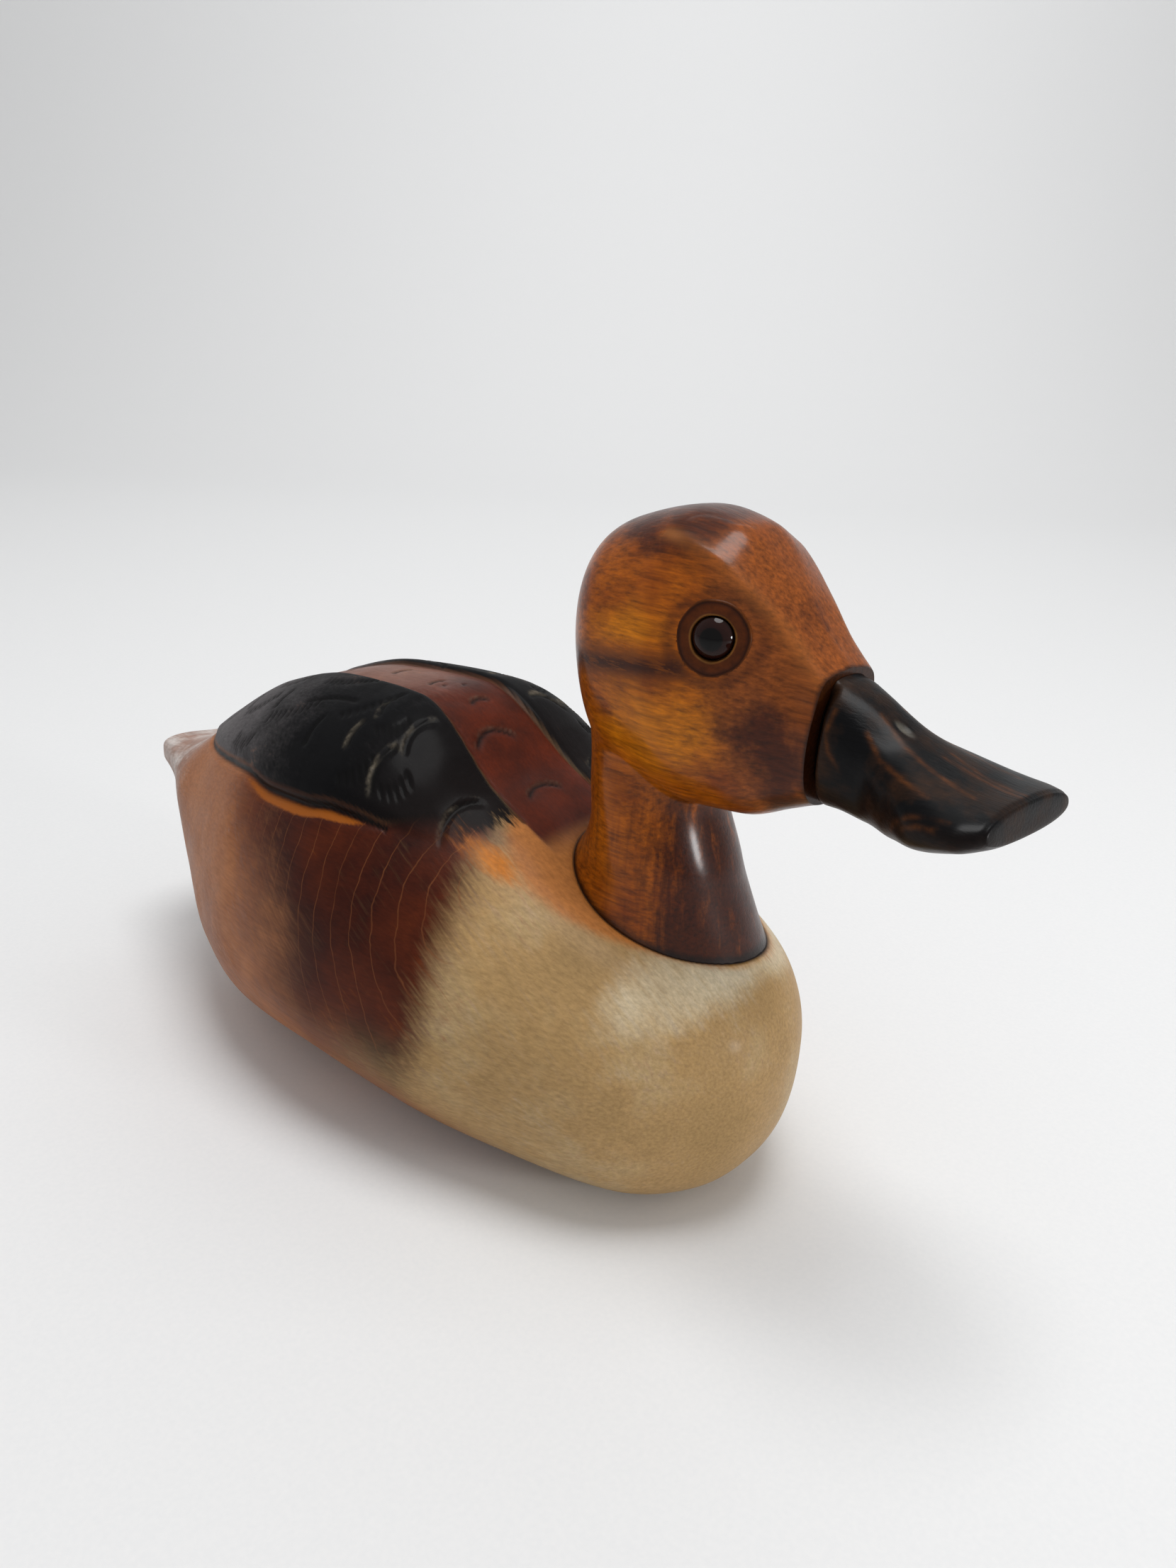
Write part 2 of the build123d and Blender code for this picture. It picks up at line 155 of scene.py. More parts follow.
# rows of points in mm become a skin, closed at its ends or joined into a ring;
# each mask is kept as a value per vertex
def skinGrid(name, grid, masks, ring=False):
    rows, columns = grid.shape[:2]
    index = np.arange(rows * columns).reshape(rows, columns)
    turned = np.roll(index, -1, axis=1)
    faces = np.stack([index[:-1], turned[:-1], turned[1:], index[1:]], axis=-1).reshape(-1, 4).tolist()
    if not ring:
        faces += [index[0][::-1].tolist(), index[-1].tolist()]
    mesh = bpy.data.meshes.new(name)
    mesh.from_pydata((grid.reshape(-1, 3) * mm).tolist(), [], faces)
    piece = newPiece(name, mesh)
    writeMasks(piece, masks)
    welded = bmesh.new()
    welded.from_mesh(mesh)
    bmesh.ops.remove_doubles(welded, verts=welded.verts, dist=0.00002)
    bmesh.ops.recalc_face_normals(welded, faces=welded.faces)
    welded.to_mesh(mesh)
    welded.free()
    mesh.shade_smooth()
    return piece


def useModifiers(piece):
    shaped = piece.evaluated_get(bpy.context.evaluated_depsgraph_get())
    mesh = bpy.data.meshes.new_from_object(shaped)
    piece.modifiers.clear()
    old = piece.data
    piece.data = mesh
    bpy.data.meshes.remove(old)


def readPoints(piece):
    points = np.empty(len(piece.data.vertices) * 3)
    piece.data.vertices.foreach_get("co", points)
    return points.reshape(-1, 3) / mm


def pieceTree(points, faces):
    return BVHTree.FromPolygons([Vector(p) for p in points], [tuple(face.vertices) for face in faces])


# sinks an upright recess into the underside, from a closed outline in mm
def sinkRecess(piece, outline, depth):
    cutter = bmesh.new()
    below = [cutter.verts.new((x * mm, y * mm, -2 * mm)) for x, y in outline]
    lifted = bmesh.ops.extrude_face_region(cutter, geom=[cutter.faces.new(below)])
    for item in lifted["geom"]:
        if isinstance(item, bmesh.types.BMVert):
            item.co.z = depth * mm
    bmesh.ops.remove_doubles(cutter, verts=cutter.verts, dist=0.000001)
    bmesh.ops.recalc_face_normals(cutter, faces=cutter.faces)
    mesh = bpy.data.meshes.new("cutter")
    cutter.to_mesh(mesh)
    cutter.free()
    tool = newPiece("cutter", mesh)
    cut = piece.modifiers.new("cut", "BOOLEAN")
    cut.operation = "DIFFERENCE"
    cut.solver = "EXACT"
    cut.object = tool
    useModifiers(piece)
    bpy.data.objects.remove(tool)


# an oblong with rounded corners; a corner radius of half the width makes a slot
def roundedBox(centreX, length, width, radius, steps):
    outline = []
    for corner, (signX, signY) in enumerate(((1, 1), (-1, 1), (-1, -1), (1, -1))):
        for k in range(steps + 1):
            turn = math.pi / 2 * (corner + k / steps)
            outline.append((
                centreX + signX * (length / 2 - radius) + radius * math.cos(turn),
                signY * (width / 2 - radius) + radius * math.sin(turn),
            ))
    return outline


# saws a piece off square to an aim, keeping what lies ahead of it or behind, and closes the cut
def sawAcross(piece, middle, aim, keepAhead, crease):
    cut = bmesh.new()
    cut.from_mesh(piece.data)
    bmesh.ops.bisect_plane(
        cut,
        geom=cut.verts[:] + cut.edges[:] + cut.faces[:],
        dist=0.00001,
        plane_co=Vector(middle * mm),
        plane_no=Vector(aim),
        clear_inner=keepAhead,
        clear_outer=not keepAhead,
    )
    rim = [edge for edge in cut.edges if edge.is_boundary]
    bmesh.ops.contextual_create(cut, geom=rim)
    cut.to_mesh(piece.data)
    cut.free()
    piece.data.shade_smooth()
    piece.data.set_sharp_from_angle(angle=math.radians(crease))


# HEAD and neck: one block; the head is measured along its own length from the pivot
head = {
    "pivot": (69.5, 0.0, 131.9),
    "turn": -5.3,
    "raise": 7.8,
    "stations": [
        (-34.2, 0.0, -2.0, -2.0, -2.0, 2.1, 2.1),
        (-33.0, 5.0, 10.4, -15.5, -1.0, 2.1, 2.1),
        (-28.0, 13.1, 20.5, -25.6, -1.0, 2.1, 2.1),
        (-15.0, 21.0, 27.0, -32.8, -2.0, 2.2, 2.2),
        (0.0, 21.9, 28.8, -34.2, -3.0, 2.3, 2.3),
        (13.0, 18.2, 25.2, -34.4, -5.0, 2.6, 2.4),
        (23.0, 12.9, 14.4, -31.6, -8.0, 2.8, 2.5),
        (30.0, 10.4, 4.0, -29.6, -12.0, 2.8, 2.6),
        (38.0, 9.6, -4.4, -28.4, -15.0, 2.8, 2.6),
    ],
    # share of the height, centre x, y and z, tilt, half length, half width, twist
    "neck": [
        (0.0, 60.4, 4.6, 58.0, 22.0, 30.0, 24.2, 10.0),
        (0.17, 60.2, 3.8, 68.0, 22.0, 25.6, 21.2, 10.0),
        (0.29, 60.7, 2.7, 75.0, 20.0, 21.8, 19.6, 8.0),
        (0.45, 60.6, 1.3, 84.0, 17.0, 18.3, 18.4, 4.0),
        (0.7, 58.2, 0.0, 100.0, 8.0, 14.8, 16.6, 0.0),
        (1.0, 60.4, 0.0, 116.0, 0.0, 20.0, 16.0, 0.0),
    ],
    "neckLean": 21.0,  # slope of the foot of the neck, down towards the breast
    # the planed edge from each brow down to the bill: forward, sideways, up
    "brow": [(1.0, 13.6, 24.4), (8.8, 13.1, 20.7), (12.8, 12.5, 18.6), (18.6, 11.0, 13.2),
             (24.7, 8.5, 6.8), (28.6, 7.6, 1.8), (33.0, 7.2, -4.0)],
    "browLift": 0.75,
    "faceForward": 32.6,
    "faceHeight": -14.5,
    "faceSlant": 12.0,
    "voxel": 0.75,
    "eye": (15.1, 16.6, 4.3, 62.0),  # forward, sideways, up, splay from straight ahead
    "puttyRadius": 7.4,
    "socketDepth": 1.5,
}


# BODY: one carved block; lengths in mm
body = {
    # x, half width, top, bottom, widest height, fullness above, fullness below
    "stations": [
        (-126.0, 22.0, 66.6, 55.8, 61.4, 5.0, 2.8),
        (-116.0, 24.8, 67.2, 51.4, 60.6, 4.2, 2.4),
        (-108.0, 27.8, 69.2, 45.0, 59.5, 3.1, 2.1),
        (-98.0, 33.0, 75.6, 28.5, 56.5, 2.2, 2.1),
        (-86.0, 38.0, 85.0, 4.5, 47.5, 2.2, 2.1),
        (-66.0, 46.5, 95.8, -2.6, 35.5, 2.3, 2.0),
        (-40.0, 54.3, 103.1, -3.6, 33.8, 2.3, 1.9),
        (-10.0, 57.0, 105.1, -4.0, 36.2, 2.3, 1.8),
        (20.0, 53.9, 88.4, -3.8, 36.4, 2.25, 2.0),
        (48.0, 46.2, 76.0, -3.0, 36.0, 2.2, 2.2),
        (72.0, 38.2, 66.6, -0.8, 36.0, 2.1, 2.3),
        (86.0, 26.5, 58.6, 5.5, 36.0, 2.2, 2.4),
        (93.0, 16.5, 50.5, 14.5, 36.0, 2.2, 2.4),
        (97.0, 0.0, 36.0, 36.0, 36.0, 2.2, 2.4),
    ],
    "tailRound": 3.2,
    "tailCorner": (4.0, 3.4),  # length and width of its rounding seen from above
    "tailDish": 1.9,  # how far the top of the tail is hollowed between its corners
    "wingRear": -98,
    "wingTip": 40,
    # where each wing starts and ends sideways, by x
    "wingInner": [(-98, 9), (-75, 9.4), (-45, 9.2), (-10, 11), (25, 14.0), (40, 14.0)],
    "wingOuter": [(-98, 10), (-95, 17), (-88, 24.5), (-75, 31.5), (-60, 36.8), (-45, 40.8),
                  (-30, 43.6), (-15, 44.4), (-5, 43.2), (5, 40.4), (12, 37.6),
                  (22, 31.5), (36, 20), (40, 16)],
    "wingLift": 1.1,
    "grooveDepth": 2.2,
    "grooveWidth": [(-98, 0.7), (-75, 0.9), (-48, 1.3), (-16, 2.2), (-4, 2.1), (4, 1.4),
                    (9.6, 0.1), (40, 0.1)],
    # where the dark flank ends in front and behind, by height
    "flankFront": [(0, 14), (10, 20), (24, 29), (40, 34), (60, 35), (70, 34), (80, 31), (95, 30)],
    "flankRear": [(0, 10), (12, 0), (30, -10), (50, -16), (64, -24), (74, -34), (90, -40)],
    # how far the orange shoulder reaches from the neck, by x
    "shoulderWidth": [(10, 18), (24, 17), (36, 14), (48, 9), (60, 4.5), (70, 1.4), (80, 0.5), (97, 0.3)],
    # feather cuts: tip x, tip distance from the middle, radius, sweep, lean of the tip
    "wingCuts": [
        (-31.0, 22.8, 34, 34, -80), (-13.0, 20.0, 8.4, 84, 12), (-12.4, 31.0, 7.5, 66, 16),
        (-0.6, 22.4, 9.4, 86, 10), (-0.5, 33.2, 8.6, 84, 14), (18.0, 26.4, 10.0, 100, 4),
        (-27.0, 32.5, 9.0, 60, 14), (-52.0, 24.0, 11.0, 44, 8), (-70.0, 21.0, 10.0, 40, 6),
    ],
    "stripeCuts": [
        (-17.0, -1.2, 4.2, 92, 0), (-2.3, 0.6, 5.0, 88, 0), (6.6, -3.6, 8.6, 108, 0),
        (22.6, -1.6, 8.2, 96, 0), (-34.0, 1.0, 5.4, 84, 0), (-52.0, -1.0, 5.2, 84, 0),
        (-70.0, 0.8, 5.0, 80, 0),
    ],
    # rows of short gouge marks: from x, y to x, y, how many, mark length
    "wingCombs": [
        (-42.0, 16.6, -27.0, 11.6, 11, 3.2), (-49.0, 30.4, -34.6, 25.4, 9, 3.6),
        (-60.0, 33.6, -50.0, 35.6, 7, 3.4), (-21.5, 27.4, -13.0, 17.4, 8, 3.0),
        (-7.4, 28.0, -3.4, 22.0, 6, 3.0), (-6.6, 40.0, -2.0, 33.8, 6, 3.4),
        (4.0, 36.2, 6.8, 30.4, 5, 3.2), (-67.0, 25.4, -57.0, 22.0, 8, 3.2),
        (-64.0, 15.6, -54.0, 13.6, 7, 3.0), (-82.0, 22.4, -75.0, 19.0, 5, 2.8),
    ],
    "stripeCombs": [(-12.4, -2.0, -9.6, 2.4, 2, 2.0)],
    # recesses: centre x, length, width, depth, corner radius, steps round a corner
    "board": (-9.0, 102.3, 37.3, 7.0, 18.65, 12),
    "tieRecess": (57.1, 19.8, 20.4, 7.0, 4.0, 6),
}


# how far a point lies outside the neck, measured along the slope of the neck's foot
def neckDistance(points):
    x, y, z = points[..., 0], points[..., 1], points[..., 2]
    lean = math.radians(head["neckLean"])
    foot = head["neck"][0]
    level = np.clip(z + (x - 59.6) * math.tan(lean), foot[3], 100)
    rising = [(s[3], *s[1:]) for s in head["neck"]]
    centreX, centreY, halfLong, halfWide, turn = (
        followStations(rising, column, level) for column in (1, 2, 5, 6, 7)
    )
    turn = np.radians(turn)
    dx, dy = (x - centreX) / math.cos(lean), y - centreY
    along = dx * np.cos(turn) + dy * np.sin(turn)
    across = dy * np.cos(turn) - dx * np.sin(turn)
    ratio = np.hypot(along / halfLong, across / halfWide)
    return (ratio - 1) * np.sqrt(halfLong * halfWide)


def bodyAngles(x):
    # fine steps over the carved back, coarser ones down the flanks and underneath
    back = np.linspace(math.radians(24), math.radians(156), 196)
    left = np.linspace(math.radians(156), math.pi, 14)[1:]
    right = np.linspace(0, math.radians(24), 14)[:-1]
    s = np.array([x])
    bottom = followStations(body["stations"], 3, s)[0]
    widest = followStations(body["stations"], 4, s)[0]
    power = followStations(body["stations"], 6, s)[0]
    lowest = math.radians(86)
    if bottom < 0:
        share = (widest / (widest - bottom)) ** (power / 2)
        lowest = min(lowest, math.asin(min(share, 1.0)))
    downLeft = np.linspace(math.pi, math.pi + lowest, 25)[1:]
    under = np.linspace(math.pi + lowest, 2 * math.pi - lowest, 13)[1:-1]
    upRight = np.linspace(2 * math.pi - lowest, 2 * math.pi, 25)[:-1]
    return np.concatenate([right, back, left, downLeft, under, upRight])


def bodyRows():
    tail, breast = body["stations"][0][0], body["stations"][-1][0]
    return np.concatenate([
        tail + 4.0 * np.linspace(0, 1, 11) ** 2,
        np.arange(-121.2, -104, 0.9),
        np.arange(-104, 34, 0.7),
        np.arange(34.6, 88, 0.8),
        breast - 9.0 * (1 - np.linspace(0, 1, 20)) ** 2,
    ])


# the front of the block is blunt, so it is followed against the root of the distance to it
def frontBlunt(stations):
    tip = stations[-1][0]
    return [(-math.sqrt(tip - s[0] + 1e-9), *s[1:]) for s in stations], tip


# share of the full size at a distance from the end of a rounded block
def roundedOff(fromEnd, radius):
    depth = min(fromEnd / radius, 1.0)
    return math.sqrt(max(1 - (1 - depth) ** 2, 0))


def shapeBody():
    stations, tip = frontBlunt(body["stations"])
    cornerLength, cornerWidth = body["tailCorner"]
    rows = []
    for x in bodyRows():
        at = np.array([-math.sqrt(max(tip - x, 0) + 1e-9)])
        width, top, bottom, widest, upper, lower = (
            followStations(stations, column, at)[0] for column in range(1, 7)
        )
        fromTail = x - body["stations"][0][0]
        close = roundedOff(fromTail, body["tailRound"])
        top, bottom = (widest + (edge - widest) * close for edge in (top, bottom))
        width = width - cornerWidth * (1 - roundedOff(fromTail, cornerLength))
        y, z = carvedSection(width, top, bottom, widest, upper, lower, bodyAngles(x))
        rows.append(np.stack([np.full_like(y, x), y, np.maximum(z, 0.0)], axis=-1))
    return np.array(rows)


# depth and edge glint of curved feather cuts, whose tips point to the tail
def featherCuts(x, y, cuts):
    groove, glint = np.zeros_like(x), np.zeros_like(x)
    for tipX, tipY, radius, sweep, lean in cuts:
        turn = math.radians(lean)
        aimX, aimY = -math.cos(turn), math.sin(turn)
        dx, dy = x - (tipX - aimX * radius), y - (tipY - aimY * radius)
        reach = np.hypot(dx, dy)
        share = (dx * aimX + dy * aimY) / np.maximum(reach, 1e-6)
        off = np.degrees(np.arccos(np.clip(share, -1, 1)))
        end = 1 - easeStep(0.72, 1.05, off / (sweep / 2))
        groove = np.maximum(groove, end * swell(reach - radius, 0.62))
        glint = np.maximum(glint, end * swell(reach - radius - 0.85, 0.42))
    return groove, glint


# rows of short gouge marks, each row slightly bowed
def gougeMarks(x, y, combs):
    mark = np.zeros_like(x)
    for fromX, fromY, toX, toY, count, length in combs:
        rowX, rowY = toX - fromX, toY - fromY
        span = math.hypot(rowX, rowY)
        acrossX, acrossY = -rowY / span, rowX / span
        for share in np.linspace(0, 1, count):
            bow = 1.4 * math.sin(math.pi * share)
            dx = x - (fromX + rowX * share + acrossX * bow)
            dy = y - (fromY + rowY * share + acrossY * bow)
            along = dx * acrossX + dy * acrossY
            side = dx * acrossY - dy * acrossX
            fat = 0.42 * (1 - 0.25 * np.clip(along / length, -0.5, 0.5))
            mark = np.maximum(mark, swell(side, fat) * swell(along, length * 0.5, 4))
    return mark


def carveBody():
    grid = shapeBody()
    normal = surfaceNormals(grid)
    x, y, z = grid[..., 0], grid[..., 1], grid[..., 2]
    side = np.abs(y)
    above = easeStep(56, 66, z)
    long = (x > body["wingRear"]) & (x < body["wingTip"])
    pastInner = side - followStations(body["wingInner"], 1, x)
    pastOuter = side - followStations(body["wingOuter"], 1, x)
    fromNeck = neckDistance(grid)

    # ahead of the groove the wing has no carved edge: its stain fades into the flank
    fade = 8.0 * easeStep(7, 20, x)
    wing = easeStep(-0.5, 0.6, pastInner) * (1 - easeStep(-0.6 - fade, 0.4 + fade, pastOuter)) * above * long
    stripeEnd = body["wingRear"] - 2 + 3.0 * (y / 9) ** 2
    stripe = (1 - easeStep(-0.5, 0.6, pastInner)) * above * (x > stripeEnd) * (1 - easeStep(34, 42, x))
    lift = np.minimum(wing, 1 - easeStep(-2.4, 0.3, pastOuter)) * (1 - easeStep(7, 24, x))
    lift = body["wingLift"] * lift * (1 - 0.5 * swell(pastInner - 0.4, 1.0))

    # the V groove under the edge of each wing, widest and deepest before it runs out
    wide = followStations(body["grooveWidth"], 1, x)
    run = easeStep(-97, -88, x) * (1 - easeStep(9.2, 10.2, x)) * above
    deep = 0.30 + 0.70 * easeStep(0.8, 2.1, wide)
    wall = np.clip(pastOuter / 0.9, 0, 1) * (1 - np.clip((pastOuter - 0.9) / wide, 0, 1))
    groove = body["grooveDepth"] * run * deep * wall
    # painted shade: a dark band down the groove under each wing edge, where the shadow falls
    shade = run * swell(pastOuter - 0.5, 0.45 + 0.08 * wide)
    ledge = easeStep(0.6, 1.6, pastOuter) * (1 - easeStep(wide + 0.1, wide + 0.9, pastOuter))
    ledge = run * easeStep(0.9, 1.9, wide) * ledge

    wingCut, wingGlint = featherCuts(x, side, body["wingCuts"])
    bandCut, bandGlint = featherCuts(x, y, body["stripeCuts"])
    wingCut = np.maximum(wingCut, gougeMarks(x, side, body["wingCombs"]))
    bandCut = np.maximum(bandCut, gougeMarks(x, y, body["stripeCombs"]))
    onWing, onBand = wing * (pastInner > 0.6), stripe * above
    cut = np.maximum(onWing * wingCut, onBand * bandCut)
    glint = np.maximum(onWing * wingGlint * (x > -20), onBand * bandGlint * 0.4)
    edge = swell(pastInner - 0.1, 0.6) * above * long * (x < 30)
    seam = swell(fromNeck - 0.2, 0.55) * (z > 50)
    dish = body["tailDish"] * (1 - easeStep(-121, -103, x)) * swell(y, 12) * easeStep(61, 65, z)
    relief = lift - groove - 0.5 * cut + 0.08 * glint - 0.35 * edge - 0.5 * stripe - 0.35 * seam - dish
    grid = grid + normal * (relief * easeStep(0.0, 1.5, z))[..., None]

    reach = followStations(body["shoulderWidth"], 1, x)
    outside = easeStep(-2.5 - 2.0 * fade, 1.0 - 0.9 * fade, pastOuter) * easeStep(16, 24, side)
    piece = skinGrid("carvedBody", grid, {
        "wing": wing,
        "wingFront": easeStep(18, 33, x + 0.2 * (side - 22)),
        "wingBrown": easeStep(-12, 24, x),
        "wingRear": 1 - easeStep(-82, -22, x),
        "stripe": stripe,
        "stripeRear": 0.95 - easeStep(-34, 16, x),
        # edge and cut darken the carved lines as painted shade; glint lightens their lips as a painted
        # highlight over bare wood
        "edge": 0.6 * edge,
        # groove carries the painted shade under the wing edge
        "groove": np.clip(shade * 1.3, 0, 1),
        "ledge": ledge,
        "cut": 0.9 * cut,
        "glint": 0.7 * glint,
        "flankFront": 1 - easeStep(-11, 9, x - followStations(body["flankFront"], 1, z)),
        "flankRear": easeStep(-34, 26, x - followStations(body["flankRear"], 1, z)),
        "flank": outside * easeStep(8, 44, z),
        "rear": 1 - easeStep(-20, 36, x),
        "tail": 1 - easeStep(-116, -84, x),
        "shoulder": (1 - easeStep(reach - 3, reach + 3, fromNeck)) * easeStep(8, 24, x) * (z > 50),
        "glow": swell(x - 33.0 + 0.5 * (side - 27), 7.0) * swell(side - 26.5, 4.0) * above,
        "fromNeck": np.where(z > 50, np.clip(fromNeck, -9, 30), 30),
        "belly": (1 - easeStep(6, 40, z + 0.35 * np.maximum(x - 20, 0))) * (1 - easeStep(20, 74, x)),
        # paint worn pale on the breast top, made lighter still as a painted highlight
        "crestWearAndSheen": easeStep(44, 60, z) * easeStep(60, 76, x) * (1 - easeStep(84, 95, x)),
        "ochre": easeStep(66, 74, x) * (1 - easeStep(8, 14, side)),
    })
    for centre, length, width, depth, radius, steps in (body["board"], body["tieRecess"]):
        sinkRecess(piece, roundedBox(centre, length, width, radius, steps), depth)
    return piece


carvedBody = carveBody()
print("body carved,", len(carvedBody.data.polygons), "faces")


def headAxes():
    turn, rise = math.radians(head["turn"]), math.radians(head["raise"])
    ahead = np.array([math.cos(turn) * math.cos(rise), math.sin(turn) * math.cos(rise), math.sin(rise)])
    left = np.array([-math.sin(turn), math.cos(turn), 0.0])
    return ahead, left, np.cross(ahead, left)


headAhead, headLeft, headUp = headAxes()


def fromHead(points):
    points = np.asarray(points, float)
    return (
        np.array(head["pivot"])
        + points[..., 0:1] * headAhead
        + points[..., 1:2] * headLeft
        + points[..., 2:3] * headUp
    )


def toHead(points):
    offset = points - np.array(head["pivot"])
    return np.stack([offset @ headAhead, offset @ headLeft, offset @ headUp], axis=-1)


def shapeHead():
    stations = head["stations"]
    back = stations[0][0]
    rooted = [(math.sqrt(s[0] - back), *s[1:]) for s in stations]
    angles = np.linspace(0, 2 * math.pi, 144, endpoint=False)
    rows = []
    for step in np.linspace(0, 1, 90):
        at = np.array([step * rooted[-1][0]])
        values = [followStations(rooted, column, at)[0] for column in range(1, 7)]
        side, up = carvedSection(*values, angles)
        rows.append(np.stack([np.full_like(side, back + at[0] ** 2), side, up], axis=-1))
    return fromHead(np.array(rows))


def shapeNeck():
    angles = np.linspace(0, 2 * math.pi, 120, endpoint=False)
    rows = []
    for t in np.linspace(0, 1, 60):
        at = np.array([t])
        centreX, centreY, centreZ, tilt, halfLong, halfWide, turn = (
            followStations(head["neck"], column, at)[0] for column in range(1, 8)
        )
        slope, turn = math.radians(tilt), math.radians(turn)
        along, across = halfLong * np.cos(angles), halfWide * np.sin(angles)
        along, across = (
            along * math.cos(turn) - across * math.sin(turn),
            along * math.sin(turn) + across * math.cos(turn),
        )
        rows.append(np.stack([
            centreX + along * math.cos(slope),
            centreY + across,
            centreZ - along * math.sin(slope),
        ], axis=-1))
    return np.array(rows)


# distance from points to a line drawn through given places
def lineDistance(points, line):
    nearest = np.full(points.shape[:-1], 1e9)
    for start, end in zip(np.array(line, float), np.array(line, float)[1:]):
        step = end - start
        share = np.clip(((points - start) @ step) / (step @ step), 0, 1)
        gap = points - start - share[..., None] * step
        nearest = np.minimum(nearest, np.linalg.norm(gap, axis=-1))
    return nearest


def eyeAxis(side):
    forward, sideways, up, splay = head["eye"]
    place = fromHead(np.array([forward, side * sideways, up]))
    splay = math.radians(splay)
    aim = headLeft * side * math.sin(splay) + headAhead * math.cos(splay)
    return place, aim / np.linalg.norm(aim)


# both sides are carved alike, so lines are laid out on one side only
def mirrored(local):
    return np.stack([local[..., 0], np.abs(local[..., 1]), local[..., 2]], axis=-1)


def carveHead():
    skull = skinGrid("carvedHead", shapeHead(), {})
    neck = skinGrid("neckRoot", shapeNeck(), {})
    joined = bmesh.new()
    joined.from_mesh(skull.data)
    joined.from_mesh(neck.data)
    joined.to_mesh(skull.data)
    joined.free()
    bpy.data.objects.remove(neck)
    merge = skull.modifiers.new("merge", "REMESH")
    merge.mode = "VOXEL"
    merge.voxel_size = head["voxel"] * mm
    soften = skull.modifiers.new("soften", "SMOOTH")
    soften.factor = 0.5
    soften.iterations = 6
    useModifiers(skull)
    skull.data.shade_smooth()
    return skull


def faceEnd():
    slant = math.radians(head["faceSlant"])
    middle = fromHead(np.array([head["faceForward"], 0.0, head["faceHeight"]]))
    return middle, headAhead * math.cos(slant) - headUp * math.sin(slant)


# sinks the eye sockets, raises the brows and saws the face off where the bill meets it
def finishHead(piece):
    points = readPoints(piece)
    normals = np.empty(len(points) * 3)
    piece.data.vertices.foreach_get("normal", normals)
    move = np.zeros(len(points))
    for side in (1, -1):
        place, aim = eyeAxis(side)
        offset = points - place
        depth = offset @ aim
        radius = np.linalg.norm(offset - depth[:, None] * aim, axis=1)
        socket = 1 - easeStep(head["puttyRadius"] - 1.1, head["puttyRadius"] - 0.3, radius)
        move -= head["socketDepth"] * (np.abs(depth) < 9) * socket
    local = mirrored(toHead(points))
    toBrow = lineDistance(local, head["brow"])
    lift = swell(toBrow, 1.7) - 0.5 * swell(toBrow - 5.4, 2.8)
    fade = easeStep(2, 8, local[:, 0]) * easeStep(-8, 4, local[:, 2] + 0.5 * local[:, 0])
    move += head["browLift"] * lift * fade
    points = points + normals.reshape(-1, 3) * move[:, None]
    piece.data.vertices.foreach_set("co", (points * mm).reshape(-1))
    sawAcross(piece, *faceEnd(), keepAhead=False, crease=50)


carvedHead = carveHead()
headTree = pieceTree(readPoints(carvedHead), carvedHead.data.polygons)
finishHead(carvedHead)


def maskHead(piece):
    points = readPoints(piece)
    local = mirrored(toHead(points))
    ahead, up, x, z = local[:, 0], local[:, 2], points[:, 0], points[:, 2]
    middle, aim = faceEnd()
    behind = -((points - middle) @ aim)
    eyePlace = toHead(eyeAxis(-1)[0])
    fromEye = np.hypot(ahead - eyePlace[0], up - eyePlace[2])
    bodyTree = pieceTree(readPoints(carvedBody), carvedBody.data.polygons)
    fromBody = np.array([bodyTree.find_nearest(Vector(p))[3] if p[2] < 86 else 99.0 for p in points])
    inHead = easeStep(97, 108, z)
    crown = easeStep(13, 25, up + 0.25 * np.minimum(ahead, 0)) * (1 - easeStep(8, 20, ahead))
    jaw = easeStep(12, 24, ahead) * (1 - easeStep(-14, -2, up))
    lightPatch = swell(up - 6.0, 4.2) * swell(ahead + 4, 10)
    cheek = swell(up + 15, 10) * swell(ahead - 2, 17)
    eyeLine = swell(up + 1.6, 2.8) * easeStep(-33, -20, ahead) * (1 - easeStep(8, 13, ahead))
    # painted shade: dark at the foot of the neck against the body and along the face edge over the bill
    seam, rim = 1 - easeStep(0.3, 1.5, fromBody), (1 - easeStep(0.1, 0.8, behind)) * inHead
    writeMasks(piece, {
        "smoke": inHead * np.maximum(crown, 0.75 * jaw),
        "face": inHead * easeStep(8, 22, ahead + 0.1 * np.abs(up + 12)),
        "eyeLine": inHead * eyeLine,
        "bright": np.minimum(inHead * (lightPatch + cheek), 1),
        "dark": inHead * np.maximum(swell(fromEye - 8.6, 1.6), easeStep(-24, -33, up)),
        "neck": 1 - easeStep(94, 108, z),
        "neckFront": easeStep(60, 78, x) * (1 - easeStep(98, 110, z)),
        "jointShade": 0.85 * np.maximum(seam, rim),
        # wood worn pale along the brow ridges, lightened further as a painted highlight
        "browWearAndSheen": 0.45 * swell(lineDistance(local, head["brow"]), 1.4),
    })


maskHead(carvedHead)
print("head carved,", len(carvedHead.data.polygons), "faces")


